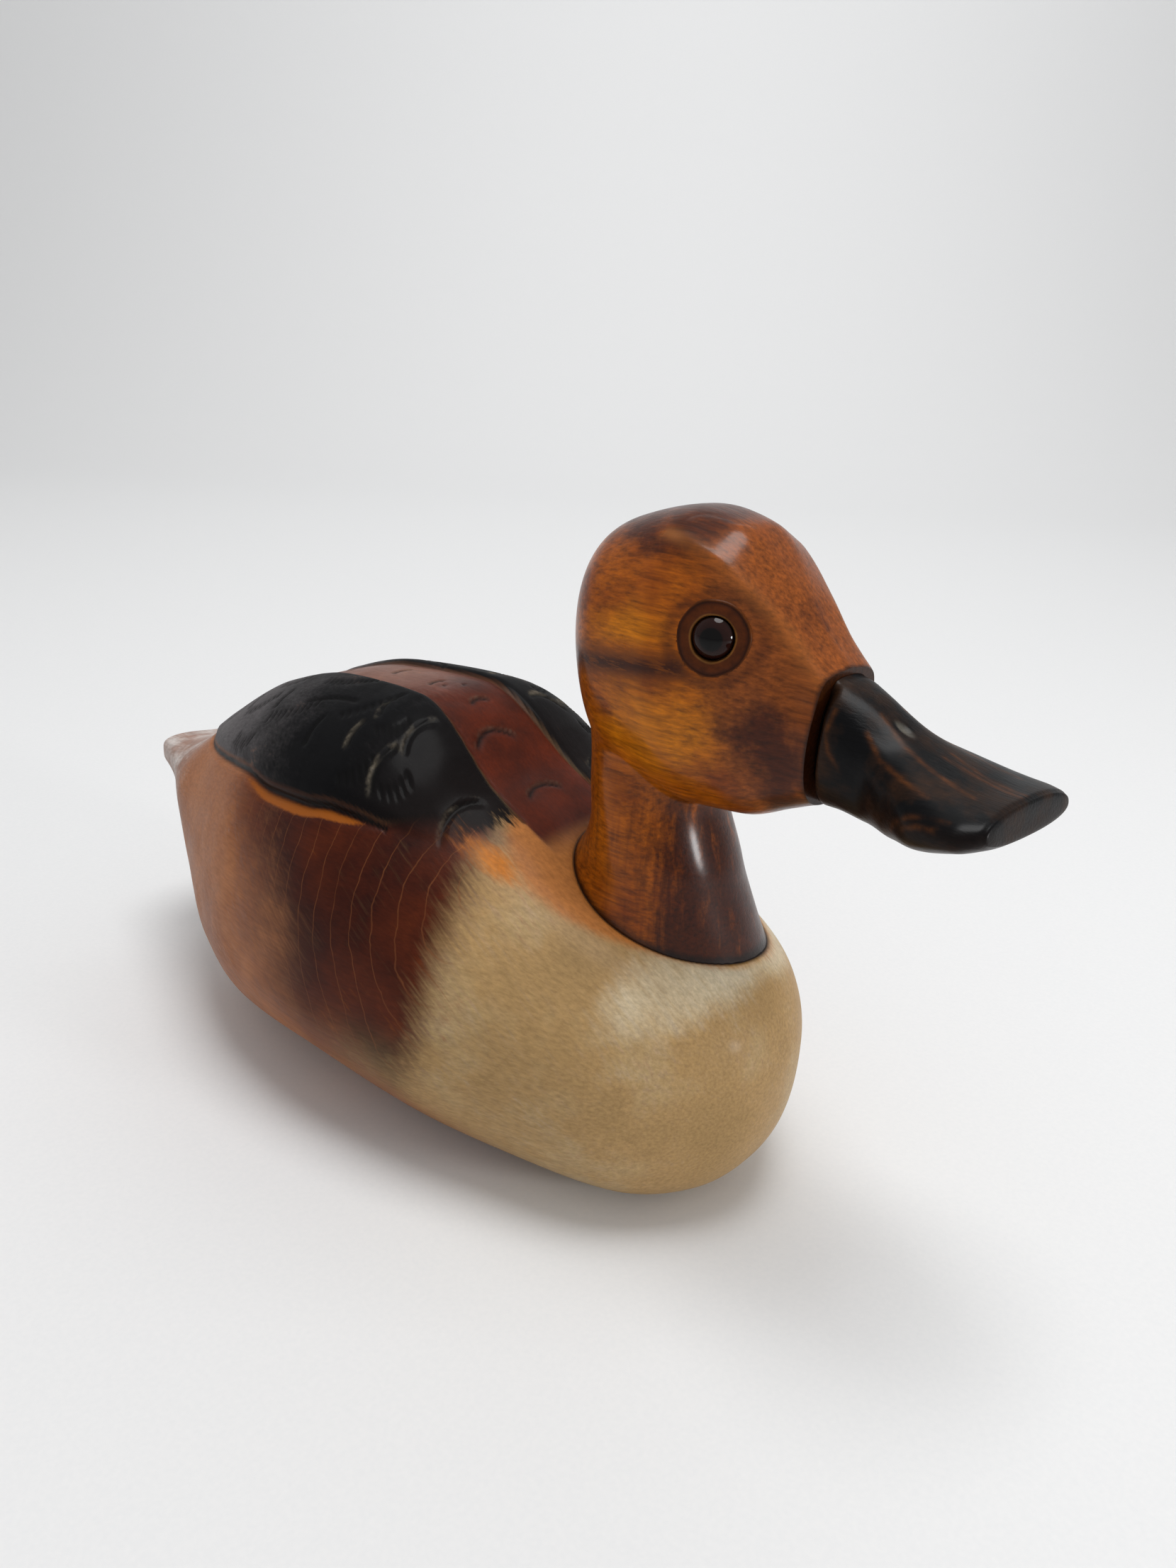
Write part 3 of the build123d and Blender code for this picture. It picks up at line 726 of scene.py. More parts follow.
# BILL: its own block, pegged to the face; measured like the head
bill = {
    "stations": [
        (30.0, 9.0, 2.0, -29.2, -14.0, 2.7, 2.6),
        (35.0, 9.6, -2.8, -29.4, -16.5, 2.7, 2.6),
        (42.5, 9.6, -7.5, -31.0, -20.0, 2.5, 2.5),
        (50.0, 12.2, -12.7, -32.4, -24.0, 2.4, 2.4),
        (58.5, 16.4, -17.1, -31.8, -26.0, 2.3, 2.4),
        (67.0, 17.8, -20.3, -29.7, -26.0, 2.3, 2.4),
        (72.0, 14.8, -21.3, -28.2, -25.2, 2.3, 2.4),
    ],
    "tipHeight": -24.8,
    "gap": 0.15,
    "rootGroove": 2.0,
    "chip": (48.4, -2.0, 1.3),  # forward, sideways, size
    # growth rings that the rubbed finish lets through: forward, sideways, up
    "rings": [
        [(37.4, 8.0, -8.6), (36.2, 9.4, -12.5), (36.8, 9.9, -16.0), (39.0, 10.0, -19.0)],
        [(44.0, 7.4, -12.0), (48.3, 9.8, -16.0), (54.7, 11.8, -18.4), (60.0, 12.8, -20.0)],
        [(44.5, 3.5, -9.4), (51.0, 5.5, -13.8), (58.0, 7.0, -17.6), (66.0, 8.0, -20.4)],
        [(53.2, 13.7, -27.4), (54.6, 15.0, -25.4), (58.0, 16.2, -23.2), (62.0, 16.6, -22.2),
         (66.0, 16.2, -22.6)],
        [(57.0, 16.0, -25.6), (60.4, 16.9, -24.4), (63.6, 17.0, -24.4), (65.0, 16.6, -25.6)],
        [(56.0, 1.4, -16.3), (63.8, 0.7, -19.5), (70.6, 0.8, -21.2)],
    ],
}


def carveBill():
    angles = np.linspace(0, 2 * math.pi, 200, endpoint=False)
    stations, tip = bill["stations"], bill["stations"][-1][0]
    rows = []
    for forward in np.concatenate([np.arange(30.0, 67.0, 0.35), np.linspace(67.0, tip, 22)]):
        at = np.array([forward])
        values = [followStations(stations, column, at)[0] for column in range(1, 7)]
        side, up = carvedSection(*values, angles)
        rows.append(np.stack([np.full_like(side, forward), side, up], axis=-1))
    local = np.array(rows)
    normal = surfaceNormals(local)
    forward, side, up = local[..., 0], local[..., 1], local[..., 2]
    slant = math.tan(math.radians(head["faceSlant"]))
    fromFace = forward - (head["faceForward"] + (up - head["faceHeight"]) * slant)
    sides = easeStep(0.25, 0.8, np.abs(normal[..., 1]))
    root = swell(np.maximum(fromFace - 0.5, 0), 1.25)
    # a shallow hollow along each flank leaves a raised keel on top
    hollow = 0.7 * swell(forward - 47, 7) * swell(np.abs(side) - 7.5, 3.0)
    hollow = hollow * easeStep(0.2, 0.8, normal[..., 2])
    chipForward, chipSide, chipSize = bill["chip"]
    spread = np.hypot((forward - chipForward) / 1.9, side - chipSide)
    chip = swell(spread, chipSize * 0.7, 4) * (up > -22)
    rings = [swell(lineDistance(mirrored(local), line), 0.5) for line in bill["rings"]]
    relief = -root * (sides * bill["rootGroove"] + 0.35) - hollow - 0.55 * chip
    masks = {
        # groove darkens the root groove as painted shade
        "groove": np.clip(root * sides * 1.2, 0, 1),
        "chip": chip,
        "ringLine": 0.42 * np.max(rings, axis=0),
    }
    local = local + normal * relief[..., None]

    # the tip is sawn off square, thinned a little and crowned
    worn = easeStep(tip - 1.6, tip, forward) ** 2
    local[..., 2] = bill["tipHeight"] + (local[..., 2] - bill["tipHeight"]) * (1 - 0.10 * worn)
    local[..., 1] = local[..., 1] * (1 - 0.03 * worn)
    end = local[-1]
    caps = []
    for share in (0.97, 0.8, 0.5, 0.2, 0.0):
        ring = end.mean(axis=0) + (end - end.mean(axis=0)) * share
        ring[:, 0] = end[:, 0] + (0.25 if share < 0.9 else 0.12)
        caps.append(ring)
    bare = np.zeros((len(caps), len(angles)))
    masks = {name: np.concatenate([values, bare]) for name, values in masks.items()}
    piece = skinGrid("carvedBill", fromHead(np.concatenate([local, caps])), masks)
    middle, aim = faceEnd()
    sawAcross(piece, middle + aim * bill["gap"], aim, keepAhead=True, crease=40)
    height = toHead(readPoints(piece))[:, 2]
    writeMasks(piece, {"under": 0.75 * (1 - np.clip((height + 33) / 9.9, 0, 1))})
    return piece


carvedBill = carveBill()
print("bill carved,", len(carvedBill.data.polygons), "faces")


# EYES: domed glass bedded in putty
eye = {
    "radius": 4.2,
    "dome": 5.1,
    "proud": 1.5,
    "depth": 5.3,
    "sides": 72,
    "puttySides": 96,
}


def eyeCircle(aim, count):
    sideways = np.cross(aim, (0, 0, 1))
    sideways = sideways / np.linalg.norm(sideways)
    turns = np.linspace(0, 2 * math.pi, count, endpoint=False)
    up = np.cross(sideways, aim)
    return turns, np.cos(turns)[:, None] * sideways + np.sin(turns)[:, None] * up


def glassEye(name, side):
    place, aim = eyeAxis(side)
    circle = eyeCircle(aim, eye["sides"])[1]
    base = eye["proud"] - eye["depth"]
    profile = []
    for share in np.linspace(0, 1, 25):
        radius = max(eye["radius"] * share, 0.001)
        height = math.sqrt(eye["dome"] ** 2 - radius ** 2) - eye["dome"] + eye["proud"]
        profile.append((radius, height, share))
    profile += [(eye["radius"], height, 1.0) for height in (-1.2, -2.6, base)]
    profile.append((0.001, base, 1.0))
    grid = np.array([place + aim * height + circle * radius for radius, height, share in profile])
    ring = np.repeat([[share] for radius, height, share in profile], eye["sides"], axis=1)
    return skinGrid(name, grid, {"ring": ring})


# a ring of putty, pressed down to the glass inside and feathered out on the wood
def eyePutty(name, side):
    place, aim = eyeAxis(side)
    turns, circle = eyeCircle(aim, eye["puttySides"])
    wobble = 1 + 0.012 * np.sin(3 * turns + side) + 0.008 * np.sin(7 * turns)
    outer, inner = head["puttyRadius"], eye["radius"] + 0.06
    shape = [(inner, -3.2), (inner, -1.5), (inner + 0.06, -0.5), (inner + 0.3, -0.22)]
    for share in np.arange(2, 11) / 12:
        shape.append((inner + (outer - inner) * share, -0.2 + 0.26 * math.sin(math.pi * share)))
    shape += [(outer - 0.25, 0.05), (outer + 0.1, -0.12), (outer + 0.15, -0.5), (outer - 0.4, -3.0)]
    shape.append(shape[0])
    rows, ring = [], []
    for radius, drop in shape:
        reach = radius * wobble if radius >= inner + 0.1 else np.full_like(turns, radius)
        offset = reach[:, None] * circle
        hits = [headTree.ray_cast(Vector(place + o + aim * 12), Vector(-aim), 30)[0] for o in offset]
        surface = np.array([(np.array(hit) - place) @ aim if hit else 0.0 for hit in hits])
        share = np.clip((reach - inner) / (outer - inner), 0, 1)
        height = surface * share + np.minimum(surface, eye["proud"] - 0.9) * (1 - share) + drop
        rows.append(place + offset + height[:, None] * aim)
        ring.append(np.full_like(turns, (radius - inner) / (outer - inner)))
    return skinGrid(name, np.array(rows), {"ring": np.array(ring)}, ring=True)


rightGlass, leftGlass = glassEye("rightGlassEye", -1), glassEye("leftGlassEye", 1)
rightPutty, leftPutty = eyePutty("rightEyePutty", -1), eyePutty("leftEyePutty", 1)
print("eyes set")


def linear(hexColour):
    parts = [int(hexColour[k:k + 2], 16) / 255 for k in (1, 3, 5)]
    return (*(p / 12.92 if p <= 0.04045 else ((p + 0.055) / 1.055) ** 2.4 for p in parts), 1.0)


def linearTones(finish):
    return {key: linear(value) for key, value in finish.items() if isinstance(value, str)}


# adds one node; a node or socket among the inputs is linked, anything else is a value
def addNode(tree, kind, inputs=None, stops=(), **settings):
    node = tree.nodes.new("ShaderNode" + kind)
    for name, value in settings.items():
        setattr(node, name, value)
    if stops:
        ramp = node.color_ramp.elements
        while len(ramp) < len(stops):
            ramp.new(0.5)
        for element, (position, colour) in zip(ramp, stops):
            element.position = position
            element.color = colour
    for key, value in (inputs or {}).items():
        if isinstance(key, int):
            socket = node.inputs[key]
        else:
            socket = next(s for s in node.inputs if s.enabled and s.name == key)
        if isinstance(value, bpy.types.Node):
            value = next(s for s in value.outputs if s.enabled)
        if isinstance(value, bpy.types.NodeSocket):
            tree.links.new(value, socket)
        else:
            socket.default_value = value
    return node


def newMaterial(name):
    material = bpy.data.materials.new(name)
    material.use_nodes = True
    material.node_tree.nodes.clear()
    return material, material.node_tree


# lays stains over a base one after another: where, which colour, and the blend if it is not a plain mix
def layStains(tree, base, *stains):
    for where, colour, *blend in stains:
        base = addNode(tree, "Mix", {"Factor": where, "A": base, "B": colour},
                       data_type="RGBA", blend_type=blend[0] if blend else "MIX")
    return base


# long fibres, wide clouds and small blotches, then the grain as a stain and how rough the surface is
def woodNoises(tree, finish):
    place = addNode(tree, "TexCoord").outputs["Object"]
    along, across = 1000 / finish["fibreLength"], 1000 / finish["fibre"]
    stretched = addNode(tree, "Mapping", {"Vector": place, "Scale": (along, across, across)})
    noises = [place]
    for space, (scale, detail, roughness) in (
        (stretched, (0.5, 5.0, finish["fibreRough"])), (place, finish["cloud"]), (place, finish["blotch"]),
    ):
        noises.append(addNode(tree, "TexNoise", {
            "Vector": space, "Scale": scale, "Detail": detail, "Roughness": roughness}))
    streak, shine = (
        addNode(tree, "MapRange", {
            "Value": noises[which], "From Min": low, "From Max": high, "To Min": toLow, "To Max": toHigh})
        for which, low, high, toLow, toHigh in (finish["streak"], finish["shine"])
    )
    return *noises, (1.0, streak, "MULTIPLY"), shine


# a mask whose edge breaks up with noises; one that starts above its end fades out instead
def brokenEdge(tree, source, noises, amounts, low, high, full=1.0):
    for noise, amount in zip(noises, amounts):
        source = addNode(tree, "Math", {0: noise, 1: amount, 2: source}, operation="MULTIPLY_ADD")
    shift = sum(amounts) / 2
    return addNode(tree, "MapRange", {
        "Value": source, "From Min": low + shift, "From Max": high + shift, "To Max": full,
    }, interpolation_type="SMOOTHSTEP")


def closeMaterial(tree, height, strength, distance, look):
    bump = addNode(tree, "Bump", {"Height": height, "Strength": strength, "Distance": distance})
    surface = addNode(tree, "BsdfPrincipled", {**look, "Normal": bump})
    addNode(tree, "OutputMaterial", {"Surface": surface})


# Basswood, carved and sanded, stained by dry brush and sealed with a satin coat:
# thin colour that lets grain and brush marks through, dark wings, khaki breast
bodyFinish = {
    "khaki": "#A9895C", "khakiLight": "#B1976C", "khakiDark": "#9E8055", "bellyBrown": "#8E5C36",
    # the pale colour on the breast crest is worn paint and a painted highlight together
    "paleWearAndSheen": "#D8CCB0", "tan": "#A4683E", "tanDark": "#8C5432", "tailPink": "#98786A", "tailDustAndSheen": "#CBC2BD",
    "flankDark": "#30100A", "flankWarm": "#54220E", "ringLine": "#7C4A2A",
    "orange": "#B07038", "glow": "#B86C14", "ochre": "#C08A14",
    "stripe": "#3A1204", "stripeWarm": "#642206", "stripeDust": "#7E5A4C",
    # the grey on the rear of the wings is dust and a painted sheen
    "wing": "#040406", "wingDustAndSheen": "#5E5A5B", "wingBrown": "#0E0605",
    # groove, cut and seam are painted shade in the carved recesses and at the neck joint; glint is a painted
    # highlight on bare wood
    "groove": "#060404", "ledge": "#904E16", "cut": "#060505", "glint": "#8F8472", "seam": "#160A05",
    "fibre": 0.35, "fibreLength": 9.0, "fibreRough": 0.62,  # mm across and along one wood fibre bundle
    "brush": 0.42, "brushLength": 8.0, "brushTurn": -0.6,  # mm across and along one dry brush stroke
    "cloud": (42.0, 4.0, 0.55),  # patches per metre, then the detail and roughness of the noise
    "blotch": (130.0, 4.0, 0.6),
    # which noise (1 fibre, 2 cloud, 3 blotch), its range, and the range it is turned into
    "streak": (1, 0.32, 0.68, 0.8, 1.14),
    "shine": (3, 0.3, 0.7, 0.38, 0.5),
    "ringGap": 2.5,  # half the mm between growth rings on the flank
    # broken edges: how much brush stroke, how much cloud, where the edge starts and ends
    "edges": {
        "belly": (0.5, 0.6, 0.05, 0.95), "crestWearAndSheen": (0.45, 1.2, 0.3, 1.5),
        "rear": (0.6, 0.5, 0.15, 0.85), "tail": (0.5, 0.6, -0.05, 0.7), "shoulder": (0.5, 0.5, 0.1, 0.9),
        "flankFront": (0.6, 0.5, 0.05, 0.95), "flankRear": (0.3, 0.9, 0.1, 0.95),
        "stripeRear": (0.5, 1.0, 0.2, 1.4), "wingRear": (0.4, 1.2, 0.0, 1.05),
        "wingFront": (1.2, 0.3, 0.75, 0.35), "glow": (0.7, 1.6, 0.2, 1.0), "ledge": (0.6, 0.4, 0.2, 0.9),
    },
}


def carvedBasswood(name, finish):
    material, tree = newMaterial(name)
    tone = linearTones(finish)
    place, fibre, cloud, blotch, grain, shine = woodNoises(tree, finish)
    mask = {
        key: addNode(tree, "Attribute", attribute_name=key).outputs["Fac"]
        for key in (*finish["edges"], "wing", "wingBrown", "stripe", "edge", "groove", "cut", "glint",
                    "flank", "fromNeck", "ochre")
    }
    along, across = 1000 / finish["brushLength"], 1000 / finish["brush"]
    turned = addNode(tree, "Mapping", {"Vector": place, "Rotation": (0, finish["brushTurn"], 0)})
    stretched = addNode(tree, "Mapping", {"Vector": turned, "Scale": (along, across, across)})
    brush = addNode(tree, "TexNoise", {"Vector": stretched, "Scale": 0.5, "Detail": 3.0, "Roughness": 0.55})
    edge = {
        key: brokenEdge(tree, mask[key], (brush, cloud), amounts, low, high)
        for key, (*amounts, low, high) in finish["edges"].items()
    }
    bloom = addNode(tree, "MapRange", {"Value": blotch, "From Min": 0.42, "From Max": 0.72})

    # growth rings: fine ovals round the place where the flank cuts deepest into the log
    oval = addNode(tree, "Mapping", {
        "Vector": place, "Location": (-0.036, 0.0, -0.041), "Scale": (1.0, 0.0, 0.5)})
    radius = addNode(tree, "VectorMath", {0: oval}, operation="LENGTH").outputs["Value"]
    drift = addNode(tree, "Math", {0: cloud, 1: 0.006, 2: radius}, operation="MULTIPLY_ADD")
    turns = addNode(tree, "Math", {0: drift, 1: 1000 / finish["ringGap"]}, operation="MULTIPLY")
    saw = addNode(tree, "Math", {0: turns, 1: 1.0}, operation="PINGPONG")
    ringLine = addNode(tree, "MapRange", {
        "Value": saw, "From Min": 0.0, "From Max": 0.075, "To Min": 1.0, "To Max": 0.0})
    ringLine = addNode(tree, "Math", {0: ringLine, 1: blotch}, operation="MULTIPLY")

    # khaki breast browner low down, with paint worn pale on its crest and a painted highlight there, tan
    # rear, chalky pink tail with a painted sheen, orange shoulders
    colour = addNode(tree, "ValToRGB", {"Fac": cloud}, stops=[
        (0.32, tone["khakiDark"]), (0.5, tone["khaki"]), (0.68, tone["khakiLight"])])
    tan = addNode(tree, "ValToRGB", {"Fac": cloud}, stops=[(0.35, tone["tan"]), (0.65, tone["tanDark"])])
    # pale blotches on the pink tail: dust, and a painted sheen with it
    tailChalkAndSheen = layStains(tree, tone["tailPink"], (bloom, tone["tailDustAndSheen"]))
    colour = layStains(
        tree, colour, (edge["belly"], tone["bellyBrown"]), (edge["crestWearAndSheen"], tone["paleWearAndSheen"]),
        (edge["rear"], tan), (edge["tail"], tailChalkAndSheen), (edge["shoulder"], tone["orange"]),
    )

    # dark flank, laid on with a dry brush so its front edge breaks into strokes
    flank = addNode(tree, "Math", {0: edge["flankFront"], 1: edge["flankRear"]}, operation="MULTIPLY")
    flank = addNode(tree, "Math", {0: flank, 1: mask["flank"]}, operation="MULTIPLY")
    flankTone = addNode(tree, "ValToRGB", {"Fac": cloud}, stops=[
        (0.38, tone["flankDark"]), (0.66, tone["flankWarm"])])
    ringHere = addNode(tree, "Math", {0: flank, 1: 0.9, 2: 0.12}, operation="MULTIPLY_ADD")
    ringHere = addNode(tree, "Math", {0: ringLine, 1: ringHere}, operation="MULTIPLY")
    colour = layStains(tree, colour, (flank, flankTone), grain, (ringHere, tone["ringLine"]))

    # back stripe, red-brown, dusty towards the tail
    stripe = addNode(tree, "ValToRGB", {"Fac": cloud}, stops=[
        (0.35, tone["stripe"]), (0.65, tone["stripeWarm"])])
    stripe = layStains(tree, stripe, (edge["stripeRear"], tone["stripeDust"]), grain)

    # wings, blue-black, dusty behind with a painted sheen on the dust, and brushed out to brown in front
    wings = layStains(
        tree, tone["wing"], (edge["wingRear"], tone["wingDustAndSheen"]),
        (mask["wingBrown"], tone["wingBrown"]), grain,
    )
    onWing = addNode(tree, "Math", {0: mask["wing"], 1: edge["wingFront"]}, operation="MULTIPLY")
    glow = layStains(tree, tone["glow"], grain)

    # carved lines: black in the cuts as painted shade, and bare wood on their worn lips lit up by a painted
    # highlight
    glint = addNode(tree, "Math", {0: mask["glint"], 1: bloom}, operation="MULTIPLY")
    footGap = addNode(tree, "MapRange", {
        "Value": mask["fromNeck"], "From Min": 0.5, "From Max": 2.0, "To Min": 1.0, "To Max": 0.0})
    ochre = addNode(tree, "Math", {0: mask["ochre"], 1: footGap}, operation="MULTIPLY")
    ochre = addNode(tree, "Math", {0: ochre, 1: bloom}, operation="MULTIPLY")
    # painted shadow: a dark line round the foot of the neck, under its lip
    seam = addNode(tree, "MapRange", {
        "Value": mask["fromNeck"], "From Min": 0.25, "From Max": 0.9, "To Min": 1.0, "To Max": 0.0})
    # painted shade fills the groove under each wing, the groove at the wing's inner edge and the cuts
    colour = layStains(
        tree, colour, (mask["stripe"], stripe), (onWing, wings), (edge["glow"], glow),
        (edge["ledge"], tone["ledge"]), (mask["groove"], tone["groove"]), (mask["edge"], tone["cut"]),
        (mask["cut"], tone["cut"]), (glint, tone["glint"]), (ochre, tone["ochre"]), (seam, tone["seam"]),
    )
    shine = addNode(tree, "Math", {0: onWing, 1: 0.24, 2: shine}, operation="MULTIPLY_ADD")
    pores = addNode(tree, "Mix", {"Factor": 0.35, "A": fibre, "B": blotch}, data_type="FLOAT")
    closeMaterial(tree, pores, 0.3, 0.0003, {
        "Base Color": colour, "Roughness": shine,
        "IOR": 1.45, "Specular IOR Level": 0.1, "Coat Weight": 0.04, "Coat Roughness": 0.16,
    })
    return material


# Basswood, amber spirit stain darkened by a smoky wash and rubbed to a gloss:
# clear orange depth with fine dark grain, almost black-brown on crown and jaw
headFinish = {
    "amber": "#A45406", "amberDark": "#7C3804", "orange": "#CA7604", "smoke": "#3A1003", "face": "#80431C",
    # seam is painted shade at the neck's foot and the face edge; worn is bare wood on the brow ridges with a
    # painted highlight
    "neckDark": "#340E02", "line": "#361303", "seam": "#100603", "worn": "#B9743A",
    "fibre": 0.42, "fibreLength": 9.0, "fibreRough": 0.65,  # mm, coarser than real so that it shows
    "cloud": (60.0, 5.0, 0.6),
    "blotch": (170.0, 4.0, 0.65),
    "streak": (1, 0.3, 0.68, 0.42, 1.25),
    "shine": (3, 0.3, 0.7, 0.27, 0.4),
    "runs": (620.0, 620.0, 70.0),  # twice the streaks per metre, round the neck and down it
    # washes in the order they went on: tone, how much blotch and cloud, start, end and fullest
    "washes": {
        "bright": ("orange", 0.8, 0.8, 0.1, 1.1, 0.9), "face": ("face", 0.8, 0.8, 0.2, 1.1, 0.8),
        "smoke": ("smoke", 1.2, 2.4, 0.16, 1.06, 0.9),
    },
}


def amberBasswood(name, finish):
    material, tree = newMaterial(name)
    tone = linearTones(finish)
    place, fibre, cloud, blotch, grain, shine = woodNoises(tree, finish)
    mask = {
        key: addNode(tree, "Attribute", attribute_name=key).outputs["Fac"]
        for key in (*finish["washes"], "dark", "eyeLine", "neck", "neckFront", "jointShade", "browWearAndSheen")
    }
    washes = [
        (brokenEdge(tree, mask[key], (blotch, cloud), amounts, low, high, full), tone[shade])
        for key, (shade, *amounts, low, high, full) in finish["washes"].items()
    ]
    # on the neck the wash ran down and dried in upright streaks
    runSpace = addNode(tree, "Mapping", {"Vector": place, "Scale": finish["runs"]})
    runs = addNode(tree, "TexNoise", {"Vector": runSpace, "Scale": 0.5, "Detail": 4.0, "Roughness": 0.6})
    neck = brokenEdge(tree, mask["neckFront"], (runs, blotch, cloud), (2.2, 0.6, 0.8), -0.1, 0.95, 0.95)
    neck = addNode(tree, "Math", {0: neck, 1: mask["neck"]}, operation="MULTIPLY")
    dark = brokenEdge(tree, mask["dark"], (blotch, cloud), (0.8, 0.6), 0.1, 1.2, 0.5)
    strokes = addNode(tree, "MapRange", {"Value": fibre, "From Min": 0.3, "From Max": 0.5})
    eyeLine = addNode(tree, "Math", {0: mask["eyeLine"], 1: strokes}, operation="MULTIPLY")
    colour = addNode(tree, "ValToRGB", {"Fac": cloud}, stops=[
        (0.36, tone["amberDark"]), (0.56, tone["amber"])])
    # the pale brow lines are wear with a painted highlight, the dark joint colour is painted shade
    colour = layStains(
        tree, colour, *washes, (neck, tone["neckDark"]), (dark, tone["line"]), (eyeLine, tone["line"]),
        grain, (mask["browWearAndSheen"], tone["worn"]), (mask["jointShade"], tone["seam"]),
    )
    closeMaterial(tree, fibre, 0.3, 0.0003, {
        "Base Color": colour, "Roughness": shine,
        "IOR": 1.45, "Specular IOR Level": 0.08, "Coat Weight": 0.3, "Coat Roughness": 0.17,
    })
    return material


# Basswood blackened over a brown stain and rubbed through: growth rings show as
# thin orange lines in the black, edges are worn to bare wood
billFinish = {
    # groove is painted shade in the root groove
    "black": "#050507", "brown": "#301C0E", "orange": "#7A4418", "groove": "#040303", "bare": "#5E5A52",
    "fibre": 0.3, "fibreLength": 7.0, "fibreRough": 0.6,
    "cloud": (110.0, 4.0, 0.6),
    "blotch": (320.0, 4.0, 0.6),
    "streak": (1, 0.3, 0.7, 0.6, 1.3),
    "shine": (2, 0.3, 0.7, 0.3, 0.46),
}


def blackenedBasswood(name, finish):
    material, tree = newMaterial(name)
    tone = linearTones(finish)
    fibre, cloud, blotch, grain, shine = woodNoises(tree, finish)[1:]
    mask = {
        key: addNode(tree, "Attribute", attribute_name=key).outputs["Fac"]
        for key in ("groove", "chip", "under", "ringLine")
    }
    worn = addNode(tree, "MapRange", {"Value": cloud, "From Min": 0.46, "From Max": 0.7})
    patchy = addNode(tree, "MapRange", {"Value": blotch, "From Min": 0.35, "From Max": 0.6, "To Min": 0.25})
    ringLine = addNode(tree, "Math", {0: mask["ringLine"], 1: patchy}, operation="MULTIPLY")
    chip = addNode(tree, "Math", {0: mask["chip"], 1: patchy}, operation="MULTIPLY")
    colour = layStains(
        tree, tone["black"], (worn, tone["brown"]), (ringLine, tone["orange"]),
        (mask["under"], tone["brown"]), grain, (mask["groove"], tone["groove"]), (chip, tone["bare"]),
    )
    closeMaterial(tree, fibre, 0.3, 0.0003, {
        "Base Color": colour, "Roughness": shine,
        "IOR": 1.45, "Specular IOR Level": 0.1, "Coat Weight": 0.08, "Coat Roughness": 0.2,
    })
    return material


# Soda glass, blown over a dark brown enamel back: a black pupil in a deep brown iris
def enamelBackedGlass(name):
    material, tree = newMaterial(name)
    ring = addNode(tree, "Attribute", attribute_name="ring").outputs["Fac"]
    iris = addNode(tree, "ValToRGB", {"Fac": ring}, stops=[
        (0.0, linear("#030202")), (0.50, linear("#040202")), (0.58, linear("#1E0B08")),
        (0.86, linear("#240F0B")), (1.0, linear("#060302"))])
    surface = addNode(tree, "BsdfPrincipled", {
        "Base Color": iris, "Roughness": 0.04, "IOR": 1.45, "Specular IOR Level": 0.22})
    addNode(tree, "OutputMaterial", {"Surface": surface})
    return material


# Linseed putty, pressed in by thumb and stained with the head: dull and slightly gritty
def stainedPutty(name):
    material, tree = newMaterial(name)
    place = addNode(tree, "TexCoord").outputs["Object"]
    ring = addNode(tree, "Attribute", attribute_name="ring").outputs["Fac"]
    grit = addNode(tree, "TexNoise", {"Vector": place, "Scale": 420.0, "Detail": 5.0, "Roughness": 0.65})
    tone = addNode(tree, "ValToRGB", {"Fac": ring}, stops=[
        (0.0, linear("#1E0C06")), (0.1, linear("#7E5226")), (0.2, linear("#4E240A")),
        (0.62, linear("#4A2006")), (0.86, linear("#2C1004")), (1.0, linear("#5A2C06"))])
    shade = addNode(tree, "MapRange", {
        "Value": grit, "From Min": 0.3, "From Max": 0.7, "To Min": 0.6, "To Max": 1.25})
    colour = layStains(tree, tone, (1.0, shade, "MULTIPLY"))
    closeMaterial(tree, grit, 0.4, 0.0003, {
        "Base Color": colour, "Roughness": 0.42, "IOR": 1.45, "Specular IOR Level": 0.15})
    return material


# Pine or beech, planed and sealed: straight grain along the board, with lines of darker late wood 3 mm apart
def sealedWood(name, early, late):
    material, tree = newMaterial(name)
    place = addNode(tree, "TexCoord").outputs["Object"]
    bands = addNode(tree, "TexWave", {
        "Vector": place, "Scale": 104.0, "Distortion": 3.0, "Detail": 2.0, "Detail Scale": 0.6,
    }, wave_type="BANDS", bands_direction="Y", wave_profile="SAW")
    tone = addNode(tree, "ValToRGB", {"Fac": bands}, stops=[
        (0.1, linear(early)), (0.75, linear(early)), (0.97, linear(late))])
    fibreSpace = addNode(tree, "Mapping", {"Vector": place, "Scale": (110.0, 2600.0, 2600.0)})
    fibre = addNode(tree, "TexNoise", {"Vector": fibreSpace, "Scale": 0.5, "Detail": 4.0})
    shade = addNode(tree, "MapRange", {
        "Value": fibre, "From Min": 0.3, "From Max": 0.7, "To Min": 0.8, "To Max": 1.12})
    grime = addNode(tree, "TexNoise", {"Vector": place, "Scale": 18.0, "Detail": 2.0})
    grime = addNode(tree, "MapRange", {
        "Value": grime, "From Min": 0.35, "From Max": 0.7, "To Min": 0.7, "To Max": 1.05})
    colour = layStains(tree, tone, (1.0, shade, "MULTIPLY"), (1.0, grime, "MULTIPLY"))
    closeMaterial(tree, fibre, 0.3, 0.0003, {"Base Color": colour, "Roughness": 0.5, "IOR": 1.5})
    return material


